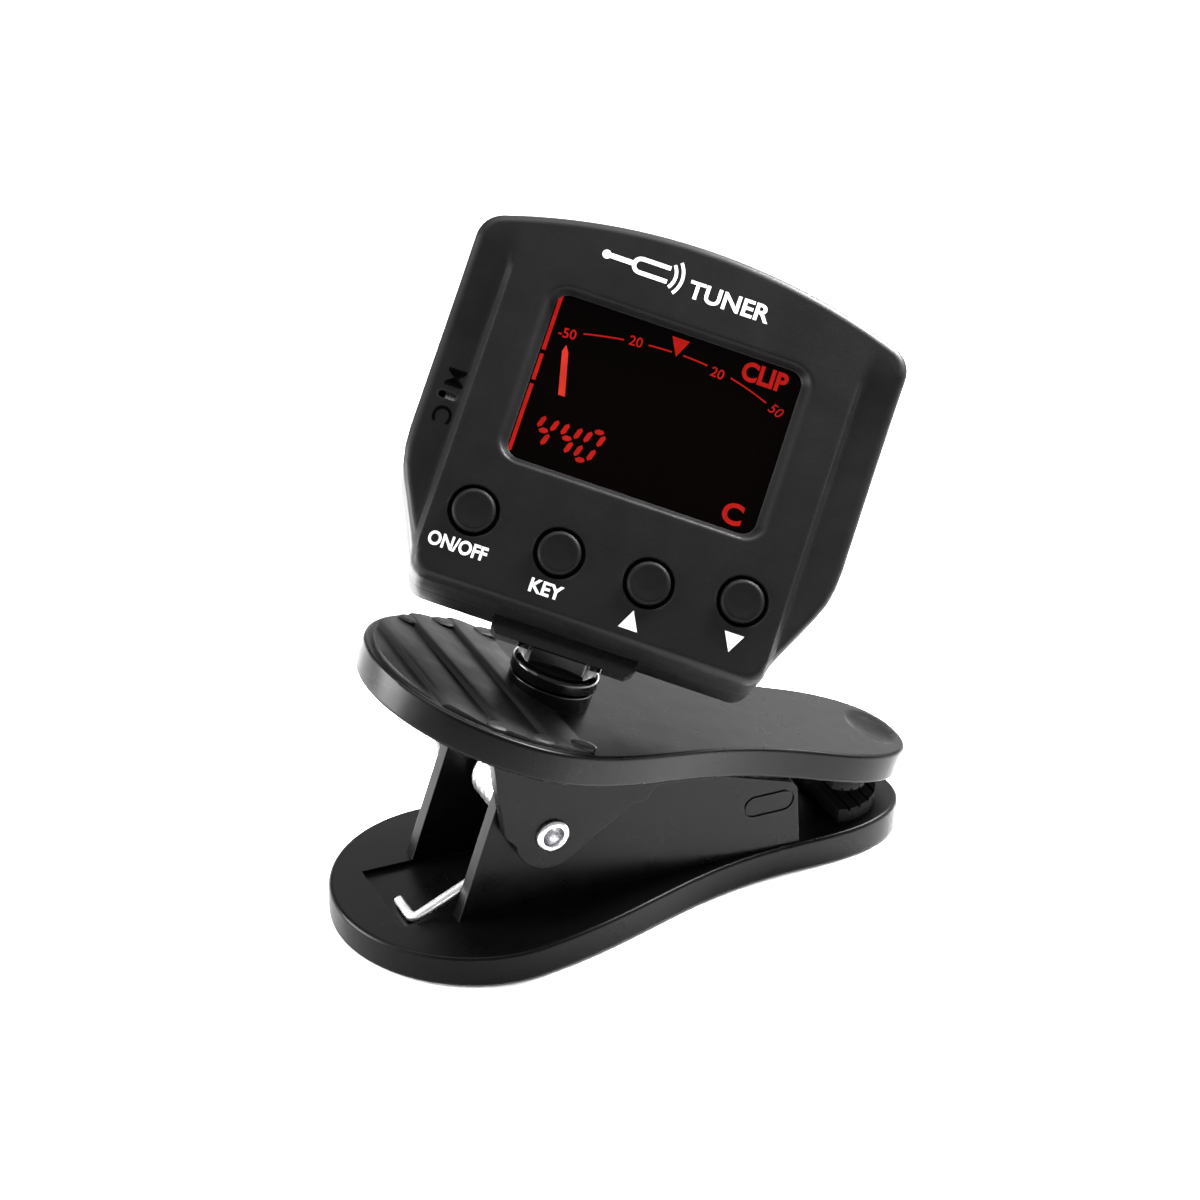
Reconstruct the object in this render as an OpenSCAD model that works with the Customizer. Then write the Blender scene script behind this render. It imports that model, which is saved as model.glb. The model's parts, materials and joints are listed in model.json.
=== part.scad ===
// Clip-on tuner: a spring clip with a swivelling, tilting display head.
// The lower jaw lies on the floor. The origin is the centre of its round grip end, on its underside.
// +X runs from the grip to the nose, +Z up. The clip is shut and the head is turned and leant back.

/* [Clip] */
// Radius of the round grip end of both jaws
grip_r = 13.65; // [12:0.05:15]
// Half width of the nose of both jaws
nose_half_w = 7.06; // [6.9:0.02:8]
// Distance from the grip centre to the tip of the nose
tip_x = 45.35; // [43:0.05:48]
// Thickness of the lower jaw's plate
lower_t = 3.17; // [2.6:0.01:3.4]
// Thickness of the upper jaw's plate
upper_t = 3.14; // [2.6:0.01:3.4]
// Angle at which the upper jaw slopes down to the nose when the clip is shut
jaw_slope = 18.78; // [18:0.01:19]
// Angle by which the grip end of the upper jaw is bent up
grip_bend = 4.7; // [3:0.1:6]

/* [Pivot and spring] */
// Position of the pivot pin along the clip
pin_x = 4.54; // [4:0.01:5]
// Height of the pivot pin above the floor
pin_z = 11.75; // [11.5:0.01:12]
// Radius of the pivot pin's shank
pin_r = 1.0; // [0.9:0.01:1.05]
// Distance from the pivot pin to the underside of the upper jaw's plate
pin_to_plate = 7.42; // [7.3:0.01:7.6]
// Radius of the spring wire
wire_r = 0.45; // [0.4:0.01:0.5]
// Radius of the spring coil, to the middle of its wire
coil_r = 1.65; // [1.6:0.01:1.8]

/* [Head] */
// Width of the head
head_w = 41.7; // [40:0.1:43]
// Height of the top of the head above the tilt pin
head_top = 37.75; // [36:0.05:38]
// Distance from the tilt pin to the front face of the head
head_front = 11.08; // [11:0.02:11.6]
// Distance from the tilt pin to the back face of the head
head_back = 3.66; // [3.6:0.02:3.8]
// Thickness of the shell walls
wall = 1.5; // [1.3:0.1:1.6]
// Sideways step from the tilt joint to the middle of the head
head_off = 1.09; // [0.8:0.01:1.2]
// Turn of the head on its post
head_turn = -31.4; // [-34:0.1:-28]
// Lean of the head back from upright
head_lean = 28.74; // [26:0.01:31]
// Radius of a button's cap
button_r = 2.0; // [1.9:0.05:2.1]

/* [Hidden] */
$fn = 64;
eps = 0.02;

// Clip: the two jaws share one outline, a round grip that narrows in a soft S to a blunt nose.
curve_start_x = 2.09;
curve_end_x = 32.09;
nose_start_x = 33.86;
side_handle = 0.42;
nose_power = 2.4;
upper_shift = -5.34;

// Side walls of the lower jaw, with the ears of the upper jaw outside them.
wall_out_y = 6.6;
wall_in_y = 5.1;
ear_in_y = 6.95;
ear_out_y = 8.4;
ear_r = 3.65;
ear_skirt_u = 15.4;
wall_end_x = 31.3;
plate_gap = 0.4;
pin_fit = 0.05;
pocket_depth = 0.5;
pad_t = 1.5;
pad_start_x = 36.8;
pad_l = 6.2;

// Post, turret and tilt joint, measured up from the top of the upper plate.
post_u = -0.3;
post_r = 4.1;
post_h = 1.55;
turret_r = 4.25;
turret_base = 1.75;
turret_top = 3.25;
tilt_h = 4.9;
tongue_half_w = 2.7;
tongue_r = 2.0;
tilt_pin_r = 0.6;
lug_r = 1.35;
screw_r = 1.2;
screw_fit = 0.06;
plate_top = pin_to_plate + upper_t;

// Head: layers from front to back.
half_w = head_w / 2;
arch_r = 48.7;
corner_r = 3.0;
head_bottom = 0.38;
panel_half_w = 16.7;
panel_step = 0.8;
split_y = -3.0;
window_half_w = 11.9;
window_low = 13.58;
window_high = 29.58;
window_mid = (window_low + window_high) / 2;
window_depth = 1.05;
lens_t = 0.8;
board_front = -4.8;
board_back = -3.8;
cell_z = 20;
cell_r = 10;
cell_t = 3.2;
cell_back = 1.6;
tray_r = 10.3;
door_half_w = 11.5;
door_low = 9.2;
door_tongue = 0.7;
button_fit = 0.3;
button_proud = 0.5;
flange_r = 2.6;
// Middle of each button, measured from the middle of the head.
button_places = [[-12.85, 7.55], [-4.28, 6.35], [4.28, 6.35], [12.85, 7.55]];
// Middle of the slot in front of the microphone.
mic_slot = [-18.6, 16.8];
screw_head_r = 1.45;
screw_sink = 1.0;
screw_places = [[-17.2, 31.4], [17.2, 31.4], [-15.0, 3.4], [15.0, 3.4]];

// Points along an arc about [cx, cy], from angle a0 to a1 in n steps.
function arc(cx, cy, r, a0, a1, n) = [
  for (i = [0:n]) let (a = a0 + (a1 - a0) * i / n) [cx + r * cos(a), cy + r * sin(a)]
];

// Point of a cubic curve through a and d with the handles b and c.
function curve_at(a, b, c, d, t) =
  a * pow(1 - t, 3) + b * 3 * t * pow(1 - t, 2) + c * 3 * t * t * (1 - t) + d * pow(t, 3);

// Upper half of the jaw outline, from the grip end round to the tip of the nose.
start_y = sqrt(grip_r * grip_r - curve_start_x * curve_start_x);
start_a = atan2(start_y, curve_start_x);
handle = side_handle * norm([curve_end_x - curve_start_x, start_y - nose_half_w]);
curve_a = [curve_start_x, start_y];
curve_b = curve_a + handle * [sin(start_a), -cos(start_a)];
curve_d = [curve_end_x, nose_half_w];
curve_c = curve_d - [handle, 0];
nose_l = tip_x - nose_start_x;
half_outline = concat(
  arc(0, 0, grip_r, 180, start_a, 18),
  [for (i = [1:14]) curve_at(curve_a, curve_b, curve_c, curve_d, i / 14)],
  [for (i = [0:9])
    let (a = 90 - i * 10)
    [nose_start_x + nose_l * pow(cos(a), 2 / nose_power), nose_half_w * pow(sin(a), 2 / nose_power)]]
);
jaw_outline = concat(
  half_outline,
  [for (i = [len(half_outline) - 2:-1:1]) [half_outline[i][0], -half_outline[i][1]]]
);

// Half width of the round grip at a distance x from its centre.
function grip_half_w(x) = sqrt(max(grip_r * grip_r - x * x, 1));

// Flat solid of the jaw outline.
module jaw_plate(t) {
  linear_extrude(t) polygon(jaw_outline);
}

// Solid whose profile is drawn in the XZ plane and which runs from y0 to y1.
module slab(y0, y1) {
  translate([0, y1, 0]) rotate([90, 0, 0]) linear_extrude(y1 - y0) children();
}

// Places children in the frame of the upper jaw, whose origin is on the pivot pin.
module on_upper_jaw() {
  translate([pin_x, 0, pin_z]) rotate([0, jaw_slope, 0]) children();
}

// Places children on the post, level with the top of the upper plate and turned with the head.
module on_post() {
  on_upper_jaw() translate([post_u, 0, plate_top]) rotate([0, 0, head_turn]) children();
}

// Places children in the frame of the head, whose origin is on the tilt pin.
module on_head() {
  on_post() translate([0, 0, tilt_h]) rotate([-head_lean, 0, 0]) translate([head_off, 0, 0]) children();
}

// Cylinder along Y from y0 to y1.
module rod_y(r, y0, y1) {
  translate([0, y1, 0]) rotate([90, 0, 0]) cylinder(r = r, h = y1 - y0);
}

// Cylinder along X from x0 to x1.
module rod_x(r, x0, x1) {
  translate([x0, 0, 0]) rotate([0, 90, 0]) cylinder(r = r, h = x1 - x0);
}

// Box from one corner to the other.
module box(low, high) {
  translate(low) cube(high - low);
}

// Wall of the lower jaw: a leaning front edge, and a top that follows the shut upper jaw.
module lower_wall(y0, y1) {
  slope = tan(jaw_slope);
  under_pin = [pin_x + pin_to_plate * sin(jaw_slope), pin_z + pin_to_plate * cos(jaw_slope) - plate_gap];
  slab(y0, y1) polygon([
    [-4.1, lower_t - eps],
    [0.2, 16.6],
    [1.4, 17.5],
    [under_pin[0] - 1.4, under_pin[1]],
    [wall_end_x, under_pin[1] - (wall_end_x - under_pin[0]) * slope - 0.1],
    [wall_end_x + 0.5, lower_t - eps]
  ]);
}

module lower_jaw() {
  color([0.07, 0.07, 0.075]) difference() {
    union() {
      jaw_plate(lower_t);
      lower_wall(-wall_out_y, -wall_in_y);
      lower_wall(wall_in_y, wall_out_y);
      box([wall_end_x - 5, -wall_in_y - eps, lower_t - eps], [wall_end_x - 3.8, wall_in_y + eps, 6.2]);
    }
    box([-9.3, -wall_in_y, lower_t - pocket_depth], [14, wall_in_y, lower_t + eps]);
    translate([pin_x, 0, pin_z]) rod_y(pin_r + 0.01, -wall_out_y - 1, wall_out_y + 1);
  }
}

// Tubular rivet: a shank with a flat head on one side and a rolled ring on the other.
module pivot_pin() {
  head_t = 0.5;
  color([0.75, 0.75, 0.77]) translate([pin_x, 0, pin_z]) difference() {
    union() {
      rod_y(pin_r, -ear_out_y - head_t, ear_out_y + head_t);
      rod_y(1.65, -ear_out_y - head_t - 0.02, -ear_out_y - 0.12);
      rod_y(1.65, ear_out_y + 0.12, ear_out_y + head_t + 0.02);
    }
    rod_y(0.72, -ear_out_y - 2, -ear_out_y + 1.6);
  }
}

// Straight wire from a to b with a ball at its far end.
leg_r = wire_r - 0.03;
module wire(a, b) {
  d = b - a;
  translate(a) rotate([0, acos(d[2] / norm(d)), atan2(d[1], d[0])]) cylinder(r = leg_r, h = norm(d));
  translate(b) sphere(r = wire_r + 0.02);
}

// Torsion spring: touching turns round the pin, one leg to each plate, each with a crossways end.
coil_half_l = 4.9;
coil_turns = 10;
lower_leg_a = 39.8;
upper_leg_a = 22;
upper_leg_l = 10.6;
cross_end_l = 3.5;
module torsion_spring() {
  pitch = 2 * coil_half_l / coil_turns;
  leg_y = coil_half_l - wire_r;
  inner = coil_r - wire_r;
  low_start = [-sin(lower_leg_a) * coil_r, -leg_y, cos(lower_leg_a) * coil_r];
  low_drop = pin_z + low_start[2] - (lower_t - pocket_depth + wire_r + 0.05);
  low_end = low_start - [low_drop / tan(lower_leg_a), 0, low_drop];
  high_start = [-sin(upper_leg_a) * coil_r, leg_y, -cos(upper_leg_a) * coil_r];
  high_end = high_start + upper_leg_l * [-cos(upper_leg_a), 0, sin(upper_leg_a)];
  turns = [for (i = [0:coil_turns - 1]) each arc(coil_r, -coil_half_l + (i + 0.5) * pitch, wire_r, -75, 75, 5)];
  color([0.8, 0.8, 0.82]) translate([pin_x, 0, pin_z]) {
    rotate([90, 0, 0]) rotate_extrude()
      polygon(concat([[inner, -coil_half_l]], turns, [[inner, coil_half_l]]));
    wire(low_start, low_end);
    wire(low_end, low_end + [0, cross_end_l, 0]);
    rotate([0, jaw_slope, 0]) {
      wire(high_start, high_end);
      wire(high_end, high_end - [0, cross_end_l, 0]);
    }
  }
}

// Rubber pad with a round end, from its straight edge at x = 0.
module nose_pad() {
  half = nose_half_w - 1.6;
  straight = pad_l - half;
  box([0, -half, 0], [straight, half, pad_t]);
  intersection() {
    translate([straight, 0, 0]) cylinder(r = half, h = pad_t);
    box([0, -half, 0], [pad_l, half, pad_t]);
  }
}

module lower_pad() {
  color([0.16, 0.16, 0.17]) translate([pad_start_x, 0, lower_t]) nose_pad();
}

module upper_pad() {
  color([0.16, 0.16, 0.17]) on_upper_jaw()
    translate([pad_start_x + upper_shift - 0.4, 0, pin_to_plate - pad_t]) nose_pad();
}

// Ear of the upper jaw: a plate with a round end about the pivot pin, a stepped corner in front of
// it and a skirt that fades out under the plate.
module ear(y0, y1) {
  slab(y0, y1) polygon(concat(
    [[ear_skirt_u, pin_to_plate + eps], [-9.2, pin_to_plate + eps], [-7.3, 4.16], [-4.6, -0.9]],
    arc(0, 0, ear_r, 205, 322, 12),
    [[4.86, 0.61], [7.2, 3.8], [8.5, 4.2], [9.3, 6], [10.2, 6.4]]
  ));
}

// Part of the upper plate on one side of the pin.
module plate_part(from_u, to_u) {
  intersection() {
    translate([upper_shift, 0, 0]) jaw_plate(upper_t);
    box([from_u, -20, -1], [to_u, 20, upper_t + 1]);
  }
}

rib_count = 4;
rib_pitch = 4.75;
rib_proud = 0.45;
rib_rim = 0.8;
rib_last_u = -3.66;
// Low round ribs across the grip, so that fingers don't slip. They stop short of its rim.
module grip_ribs() {
  rib_r = (pow(rib_pitch / 2, 2) + rib_proud * rib_proud) / (2 * rib_proud);
  intersection() {
    for (i = [0:rib_count - 1]) {
      translate([rib_last_u - i * rib_pitch, 0, upper_t + rib_proud - rib_r]) rod_y(rib_r, -grip_r, grip_r);
    }
    translate([upper_shift, 0, 1]) cylinder(r = grip_r - rib_rim, h = upper_t);
  }
}

module upper_jaw() {
  color([0.09, 0.09, 0.095]) on_upper_jaw() difference() {
    union() {
      translate([0, 0, pin_to_plate]) plate_part(0, 60);
      translate([0, 0, pin_to_plate]) rotate([0, grip_bend, 0]) {
        plate_part(-40, 0.3);
        grip_ribs();
      }
      translate([post_u, 0, pin_to_plate]) cylinder(r = post_r, h = upper_t);
      ear(-ear_out_y, -ear_in_y);
      ear(ear_in_y, ear_out_y);
    }
    rod_y(pin_r + pin_fit, -ear_out_y - 1, ear_out_y + 1);
    translate([post_u, 0, 0]) cylinder(r = screw_r + screw_fit, h = 30);
    translate([post_u, 0, plate_top]) cylinder(r = post_r + eps, h = 5);
    translate([44.0, 0, pin_to_plate - 1.3]) rotate([0, 45, 0]) cube([8, 30, 5], center = true);
  }
}

// Collar that stands on the upper plate and carries the turret.
module post() {
  color([0.02, 0.02, 0.02]) on_post() rotate([0, 0, -head_turn]) difference() {
    cylinder(r = post_r, h = post_h);
    translate([0, 0, -eps]) cylinder(r = screw_r + screw_fit, h = post_h + 2 * eps);
  }
}

// Turret that turns on the post: a lipped disc with a round-topped tongue for the tilt pin.
module swivel_turret() {
  lip = 0.7;
  color([0.03, 0.03, 0.03]) on_post() difference() {
    union() {
      rotate_extrude() polygon(concat(
        [[0, turret_base], [turret_r, turret_base]],
        arc(turret_r - lip, turret_top - lip, lip, 0, 90, 6),
        [[0, turret_top]]
      ));
      translate([-tongue_half_w, 0, 0]) {
        translate([0, 0, tilt_h]) rod_x(tongue_r, 0, 2 * tongue_half_w);
        box([0, -tongue_r, turret_top - 0.5], [2 * tongue_half_w, tongue_r, tilt_h]);
      }
    }
    translate([0, 0, tilt_h]) rod_x(tilt_pin_r + pin_fit, -5, 5);
    cylinder(r = screw_r + 0.01, h = turret_top - 0.2);
  }
}

// Screw that holds the turret down on the post, from below the upper plate.
module swivel_screw() {
  head_top_v = pin_to_plate - plate_top - 0.55;
  color([0.7, 0.7, 0.72]) on_post() difference() {
    union() {
      translate([0, 0, head_top_v - 0.9]) cylinder(r = 2.3, h = 0.9);
      translate([0, 0, head_top_v - eps]) cylinder(r = screw_r, h = turret_top - 0.4 - head_top_v);
    }
    translate([0, 0, head_top_v - 0.6]) cube([3.0, 0.5, 0.7], center = true);
    translate([0, 0, head_top_v - 0.6]) cube([0.5, 3.0, 0.7], center = true);
  }
}

// Spring washer between the screw's head and the plate.
module friction_washer() {
  low = pin_to_plate - plate_top - 0.5;
  color([0.6, 0.6, 0.62]) on_post() difference() {
    translate([0, 0, low]) cylinder(r = 2.6, h = 0.3);
    translate([0, 0, low - eps]) cylinder(r = screw_r + 0.15, h = 0.3 + 2 * eps);
  }
}

// Block under the head: two lugs round the tilt pin, a neck and a flange that the shells trap.
block_half_w = 7.0;
block_front = -3.3;
module hinge_block() {
  color([0.05, 0.05, 0.05]) on_head() translate([-head_off, 0, 0]) difference() {
    union() {
      box([-block_half_w, block_front, -lug_r], [block_half_w, 0, head_bottom - 0.02]);
      box([-block_half_w, -eps, 0], [block_half_w, lug_r - 0.3, head_bottom - 0.02]);
      rod_x(lug_r, -block_half_w, block_half_w);
      box([-4.9, -2.8, 0], [4.9, 0.8, 2.4]);
      box([-6.4, -2.8, 2.0], [6.4, 0.8, 3.2]);
    }
    box([-tongue_half_w - 0.3, -tongue_r - 0.3, -5], [tongue_half_w + 0.3, 5, 2.35]);
    rod_x(tilt_pin_r + 0.01, -6.6, 6.6);
    translate([block_half_w, 0, -lug_r]) rotate([0, 35, 0]) cube([2, 20, 3], center = true);
    translate([-block_half_w, 0, -lug_r]) rotate([0, -35, 0]) cube([2, 20, 3], center = true);
  }
}

module tilt_pin() {
  color([0.7, 0.7, 0.72]) on_head() translate([-head_off, 0, 0]) rod_x(tilt_pin_r, -6.4, 6.4);
}

// Outline of the head, drawn in by d: an arched top, straight sides and a chin that narrows.
module head_outline(d = 0) {
  side = half_w - d;
  chin = 17.0 - d;
  arch_z = head_top - arch_r;
  corner_x = half_w - corner_r;
  corner_z = arch_z + sqrt(pow(arch_r - corner_r, 2) - corner_x * corner_x);
  corner_a = atan2(corner_z - arch_z, corner_x);
  low_r = 1.9 - d * 0.5;
  right = concat(
    arc(0, arch_z, arch_r - d, 90, corner_a, 8),
    arc(corner_x, corner_z, corner_r - d, corner_a - 15, 0, 5),
    [[side, 13.4], [side - 0.12, 11.6], [side - 0.45, 10], [side - 1.05, 8.5]],
    [[chin + 0.75, 4.3], [chin + 0.15, 2.9]],
    arc(chin - low_r, head_bottom + d + low_r, low_r, 0, -90, 5)
  );
  polygon(concat(right, [for (i = [len(right) - 1:-1:1]) [-right[i][0], right[i][1]]]));
}

module front_shell() {
  color([0.11, 0.11, 0.115]) on_head() difference() {
    union() {
      slab(-head_front + panel_step, split_y - 0.03) head_outline();
      slab(-head_front, -head_front + panel_step + eps) intersection() {
        head_outline(0.25);
        translate([0, 20]) square([2 * panel_half_w, 60], center = true);
      }
    }
    difference() {
      slab(-head_front + panel_step + wall, 0) head_outline(wall);
      for (p = screw_places) translate([p[0], 0, p[1]]) rod_y(1.65, -20, split_y - 0.03);
    }
    slab(-head_front + wall, -head_front + panel_step + wall + eps)
      translate([0, window_mid]) square([2 * panel_half_w - 4, 21.2], center = true);
    for (p = screw_places) translate([p[0], 0, p[1]]) rod_y(0.8, -8.6, 0);
    for (p = button_places) translate([p[0], 0, p[1]]) rod_y(button_r + button_fit, -20, 0);
    for (p = button_places) translate([p[0], 0, p[1]]) rod_y(flange_r + 0.35, -head_front + wall, 0);
    window_pocket();
    translate([mic_slot[0], 0, mic_slot[1]]) slab(-20, 0) square([1.8, 0.7], center = true);
  }
}

// Opening for the display and the rebate that its lens is glued into.
module window_pocket() {
  lens_front = -head_front + window_depth;
  half_h = (window_high - window_low) / 2;
  step = window_depth / 3;
  slab(lens_front, 0) translate([0, window_mid])
    square([2 * window_half_w + 2.2, 2 * half_h + 2.2], center = true);
  for (i = [0:2]) {
    slab(lens_front - step * (i + 1), lens_front + eps) translate([0, window_mid])
      square([2 * (window_half_w + step * i), 2 * (half_h + 0.2 * i)], center = true);
  }
}

module rear_shell() {
  notch = [-head_off - 4.7, 1.05, 0];
  color([0.11, 0.11, 0.115]) on_head() difference() {
    union() {
      difference() {
        slab(split_y + 0.03, head_back) head_outline();
        slab(split_y, head_back - wall) head_outline(wall);
      }
      intersection() {
        slab(split_y + 0.03, head_back) head_outline();
        union() {
          translate([0, 0, cell_z]) rod_y(tray_r + 0.9, split_y + 0.1, head_back - 0.5);
          box([notch[0] - 0.9, 0.25, 0.5], [-notch[0] - 2 * head_off + 0.9, head_back, 5.1]);
          for (p = screw_places) translate([p[0], 0, p[1]]) rod_y(1.65, split_y + 0.03, head_back);
          box([-door_half_w - 2.0, 0.9, door_low - 1.2], [door_half_w + 2.0, head_back, 40]);
        }
      }
    }
    translate([0, 0, cell_z]) rod_y(tray_r, split_y + 0.9, head_back + 1);
    door_slot();
    box(notch, [-notch[0] - 2 * head_off, head_back + 1, 4.3]);
    box([-head_off - 5.1, split_y - 1, -1], [-head_off + 5.1, 1.1, 3.0]);
    box([-head_off - 6.6, split_y - 1, 1.9], [-head_off + 6.6, 1.1, 3.4]);
    translate([-head_off, 0, 0]) rod_x(lug_r + 0.1, -block_half_w - 0.15, block_half_w + 0.15);
    for (p = screw_places) translate([p[0], 0, p[1]]) rod_y(0.9, -20, 20);
    for (p = screw_places) translate([p[0], 0, p[1]]) rod_y(screw_head_r + 0.1, head_back - screw_sink, 20);
  }
}

// Way for the battery door: a T-shaped slot that runs out through the top of the rear shell.
module door_slot() {
  gap = 0.2;
  box([-door_half_w - gap, head_back - 1.66, door_low - gap], [door_half_w + gap, head_back + 1, 60]);
  box([-door_half_w - door_tongue - gap, head_back - 1.66, door_low - gap],
      [door_half_w + door_tongue + gap, head_back - 0.7, 60]);
}

// Sliding door: a flat plate with a tongue along each side and a thumb grip near its foot.
module battery_door() {
  inner = head_back - 1.5;
  color([0.1, 0.1, 0.105]) on_head() difference() {
    intersection() {
      slab(inner, head_back - 0.02) head_outline(0.15);
      union() {
        box([-door_half_w, inner, door_low], [door_half_w, head_back, 40]);
        box([-door_half_w - door_tongue, inner, door_low], [door_half_w + door_tongue, head_back - 0.9, 40]);
      }
    }
    for (i = [0:4]) {
      box([-4.5, head_back - 0.4, 13 + 1.3 * i], [4.5, head_back + 1, 13.6 + 1.3 * i]);
    }
  }
}

// Four screws that join the shells from behind, their heads sunk in round holes.
module case_screws() {
  color([0.6, 0.6, 0.62]) on_head() for (p = screw_places) {
    translate([p[0], 0, p[1]]) difference() {
      union() {
        rod_y(0.78, -8.2, head_back - screw_sink + 0.1);
        rod_y(screw_head_r, head_back - screw_sink + eps, head_back - 0.3);
      }
      box([-1.0, head_back - 0.6, -0.15], [1.0, head_back, 0.15]);
      box([-0.15, head_back - 0.6, -1.0], [0.15, head_back, 1.0]);
    }
  }
}

module display_window() {
  front = -head_front + window_depth + 0.02;
  color([0.03, 0.02, 0.02]) on_head() box(
    [-window_half_w - 0.95, front, window_low - 0.95],
    [window_half_w + 0.95, front + lens_t, window_high + 0.95]
  );
}

module lcd_panel() {
  color([0.1, 0.03, 0.03]) on_head() box([-12.6, -9.1, 12.1], [12.6, -7.3, 31.0]);
}

module light_guide() {
  color([0.85, 0.85, 0.8]) on_head() box([-12.2, -7.2, 14.2], [12.2, -5.0, 28.9]);
}

// Frame that clamps the display stack on the board.
module lcd_holder() {
  color([0.8, 0.8, 0.78]) on_head() difference() {
    box([-13.9, -8.9, 11.2], [13.9, -4.85, 31.9]);
    box([-12.7, -10, 12.0], [12.7, -7.25, 31.1]);
    box([-12.3, -8, 14.1], [12.3, -4, 29.0]);
    box([-11.3, -8, 12.3], [11.3, -4, 13.5]);
    box([-11.3, -8, 29.6], [11.3, -4, 30.8]);
  }
}

// Rubber strips that carry the signals from the board to the glass.
module zebra_strips() {
  color([0.3, 0.3, 0.32]) on_head() {
    box([-11.2, -7.28, 12.4], [11.2, -4.82, 13.4]);
    box([-11.2, -7.28, 29.7], [11.2, -4.82, 30.7]);
  }
}

module circuit_board() {
  color([0.1, 0.35, 0.15]) on_head() difference() {
    slab(board_front, board_back) head_outline(wall + 0.3);
    for (p = screw_places) translate([p[0], 0, p[1]]) rod_y(1.9, -20, 0);
    for (s = [-1, 1]) box([s * 19.5 - 2, -10, 30], [s * 19.5 + 2, 0, 40]);
    box([-head_off - 6.9, -10, 0], [-head_off + 6.9, 0, 3.4]);
  }
}

module driver_chip() {
  color([0.06, 0.06, 0.06]) on_head() box([-4, board_back, 23], [4, board_back + 0.65, 31]);
}

// One small push switch behind each button.
module tact_switches() {
  color([0.55, 0.55, 0.57]) on_head() for (p = button_places) {
    translate([p[0], 0, p[1]]) {
      box([-2.2, -6.9, -2.0], [2.2, board_front, 2.0]);
      rod_y(1.0, -7.3, -6.8);
    }
  }
}

module microphone() {
  color([0.5, 0.5, 0.5]) on_head() translate([-16.9, 0, 17.5]) rod_y(1.9, -8.4, board_front);
}

module piezo_disc() {
  color([0.75, 0.6, 0.3]) on_head() translate([10.2, 0, 4.95]) rod_y(2.9, head_back - wall - 0.5, head_back - wall);
}

module coin_cell() {
  color([0.75, 0.75, 0.77]) on_head() translate([0, 0, cell_z]) {
    rod_y(cell_r, cell_back - cell_t + 0.3, cell_back);
    rod_y(cell_r - 1.2, cell_back - cell_t, cell_back - cell_t + 0.4);
  }
}

// Bent strip that presses on the rim of the cell.
module contact_plus() {
  color([0.8, 0.7, 0.45]) on_head() box([-1, -1.2, cell_z + cell_r + 0.02], [1, 1.3, cell_z + cell_r + 0.2]);
}

// Leaf that presses on the back of the cell.
module contact_minus() {
  low = cell_back - cell_t - 0.4;
  color([0.8, 0.7, 0.45]) on_head() {
    box([-1.6, low, cell_z - 7], [1.6, low + 0.2, cell_z + 7]);
    translate([0, 0, cell_z]) rod_y(2.2, low, low + 0.37);
  }
}

// Domed cap with a flange that keeps it behind the front face.
module button(i) {
  p = button_places[i];
  front = -head_front - button_proud;
  dome = 0.35;
  color([0.06, 0.06, 0.06]) on_head() translate([p[0], 0, p[1]]) rotate([90, 0, 0]) rotate_extrude() polygon(concat(
    [[0, 8.05], [1.2, 8.05], [1.2, 8.8], [flange_r, 8.8], [flange_r, 9.35], [button_r, 9.35]],
    arc(button_r - dome, -front - dome, dome, 0, 90, 5),
    [[0, -front]]
  ));
}

module button_power() { button(0); }
module button_key() { button(1); }
module button_up() { button(2); }
module button_down() { button(3); }

lower_jaw();
pivot_pin();
torsion_spring();
lower_pad();
upper_jaw();
upper_pad();
post();
swivel_turret();
swivel_screw();
friction_washer();
hinge_block();
tilt_pin();
front_shell();
rear_shell();
case_screws();
display_window();
lcd_panel();
light_guide();
lcd_holder();
zebra_strips();
circuit_board();
driver_chip();
tact_switches();
microphone();
piezo_disc();
coin_cell();
contact_plus();
contact_minus();
battery_door();
button_power();
button_key();
button_up();
button_down();
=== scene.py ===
"""Clip-on tuner: detailed shells, clip, spring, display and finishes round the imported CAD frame."""
import json
import math

import bmesh
import bpy
from mathutils import Matrix, Vector


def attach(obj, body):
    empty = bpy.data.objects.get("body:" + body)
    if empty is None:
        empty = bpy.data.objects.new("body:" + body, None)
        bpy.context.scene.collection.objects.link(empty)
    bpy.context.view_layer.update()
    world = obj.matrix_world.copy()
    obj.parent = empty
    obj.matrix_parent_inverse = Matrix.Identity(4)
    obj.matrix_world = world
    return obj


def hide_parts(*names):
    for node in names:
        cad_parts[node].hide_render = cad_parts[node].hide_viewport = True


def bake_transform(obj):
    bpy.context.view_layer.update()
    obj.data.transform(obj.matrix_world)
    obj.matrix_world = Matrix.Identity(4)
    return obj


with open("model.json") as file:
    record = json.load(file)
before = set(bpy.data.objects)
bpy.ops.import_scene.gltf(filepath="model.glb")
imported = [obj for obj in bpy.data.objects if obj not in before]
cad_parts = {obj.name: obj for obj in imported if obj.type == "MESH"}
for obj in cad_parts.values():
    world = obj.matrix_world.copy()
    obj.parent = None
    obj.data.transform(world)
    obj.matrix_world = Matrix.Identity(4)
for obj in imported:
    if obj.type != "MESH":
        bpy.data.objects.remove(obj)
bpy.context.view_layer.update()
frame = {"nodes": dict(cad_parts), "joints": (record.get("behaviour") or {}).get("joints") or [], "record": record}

# Pieces are modelled in millimetres in the axes of their own part, then placed in the frame.
MM = 0.001
joints = {joint["name"]: joint for joint in frame["joints"]}


def axes(origin, x, y, z):
    """Placement whose three axes and origin are given, for a piece in millimetres."""
    turn = Matrix((Vector(x), Vector(y), Vector(z))).transposed().to_4x4()
    turn.translation = Vector(origin)
    return turn @ Matrix.Scale(MM, 4)


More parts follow.
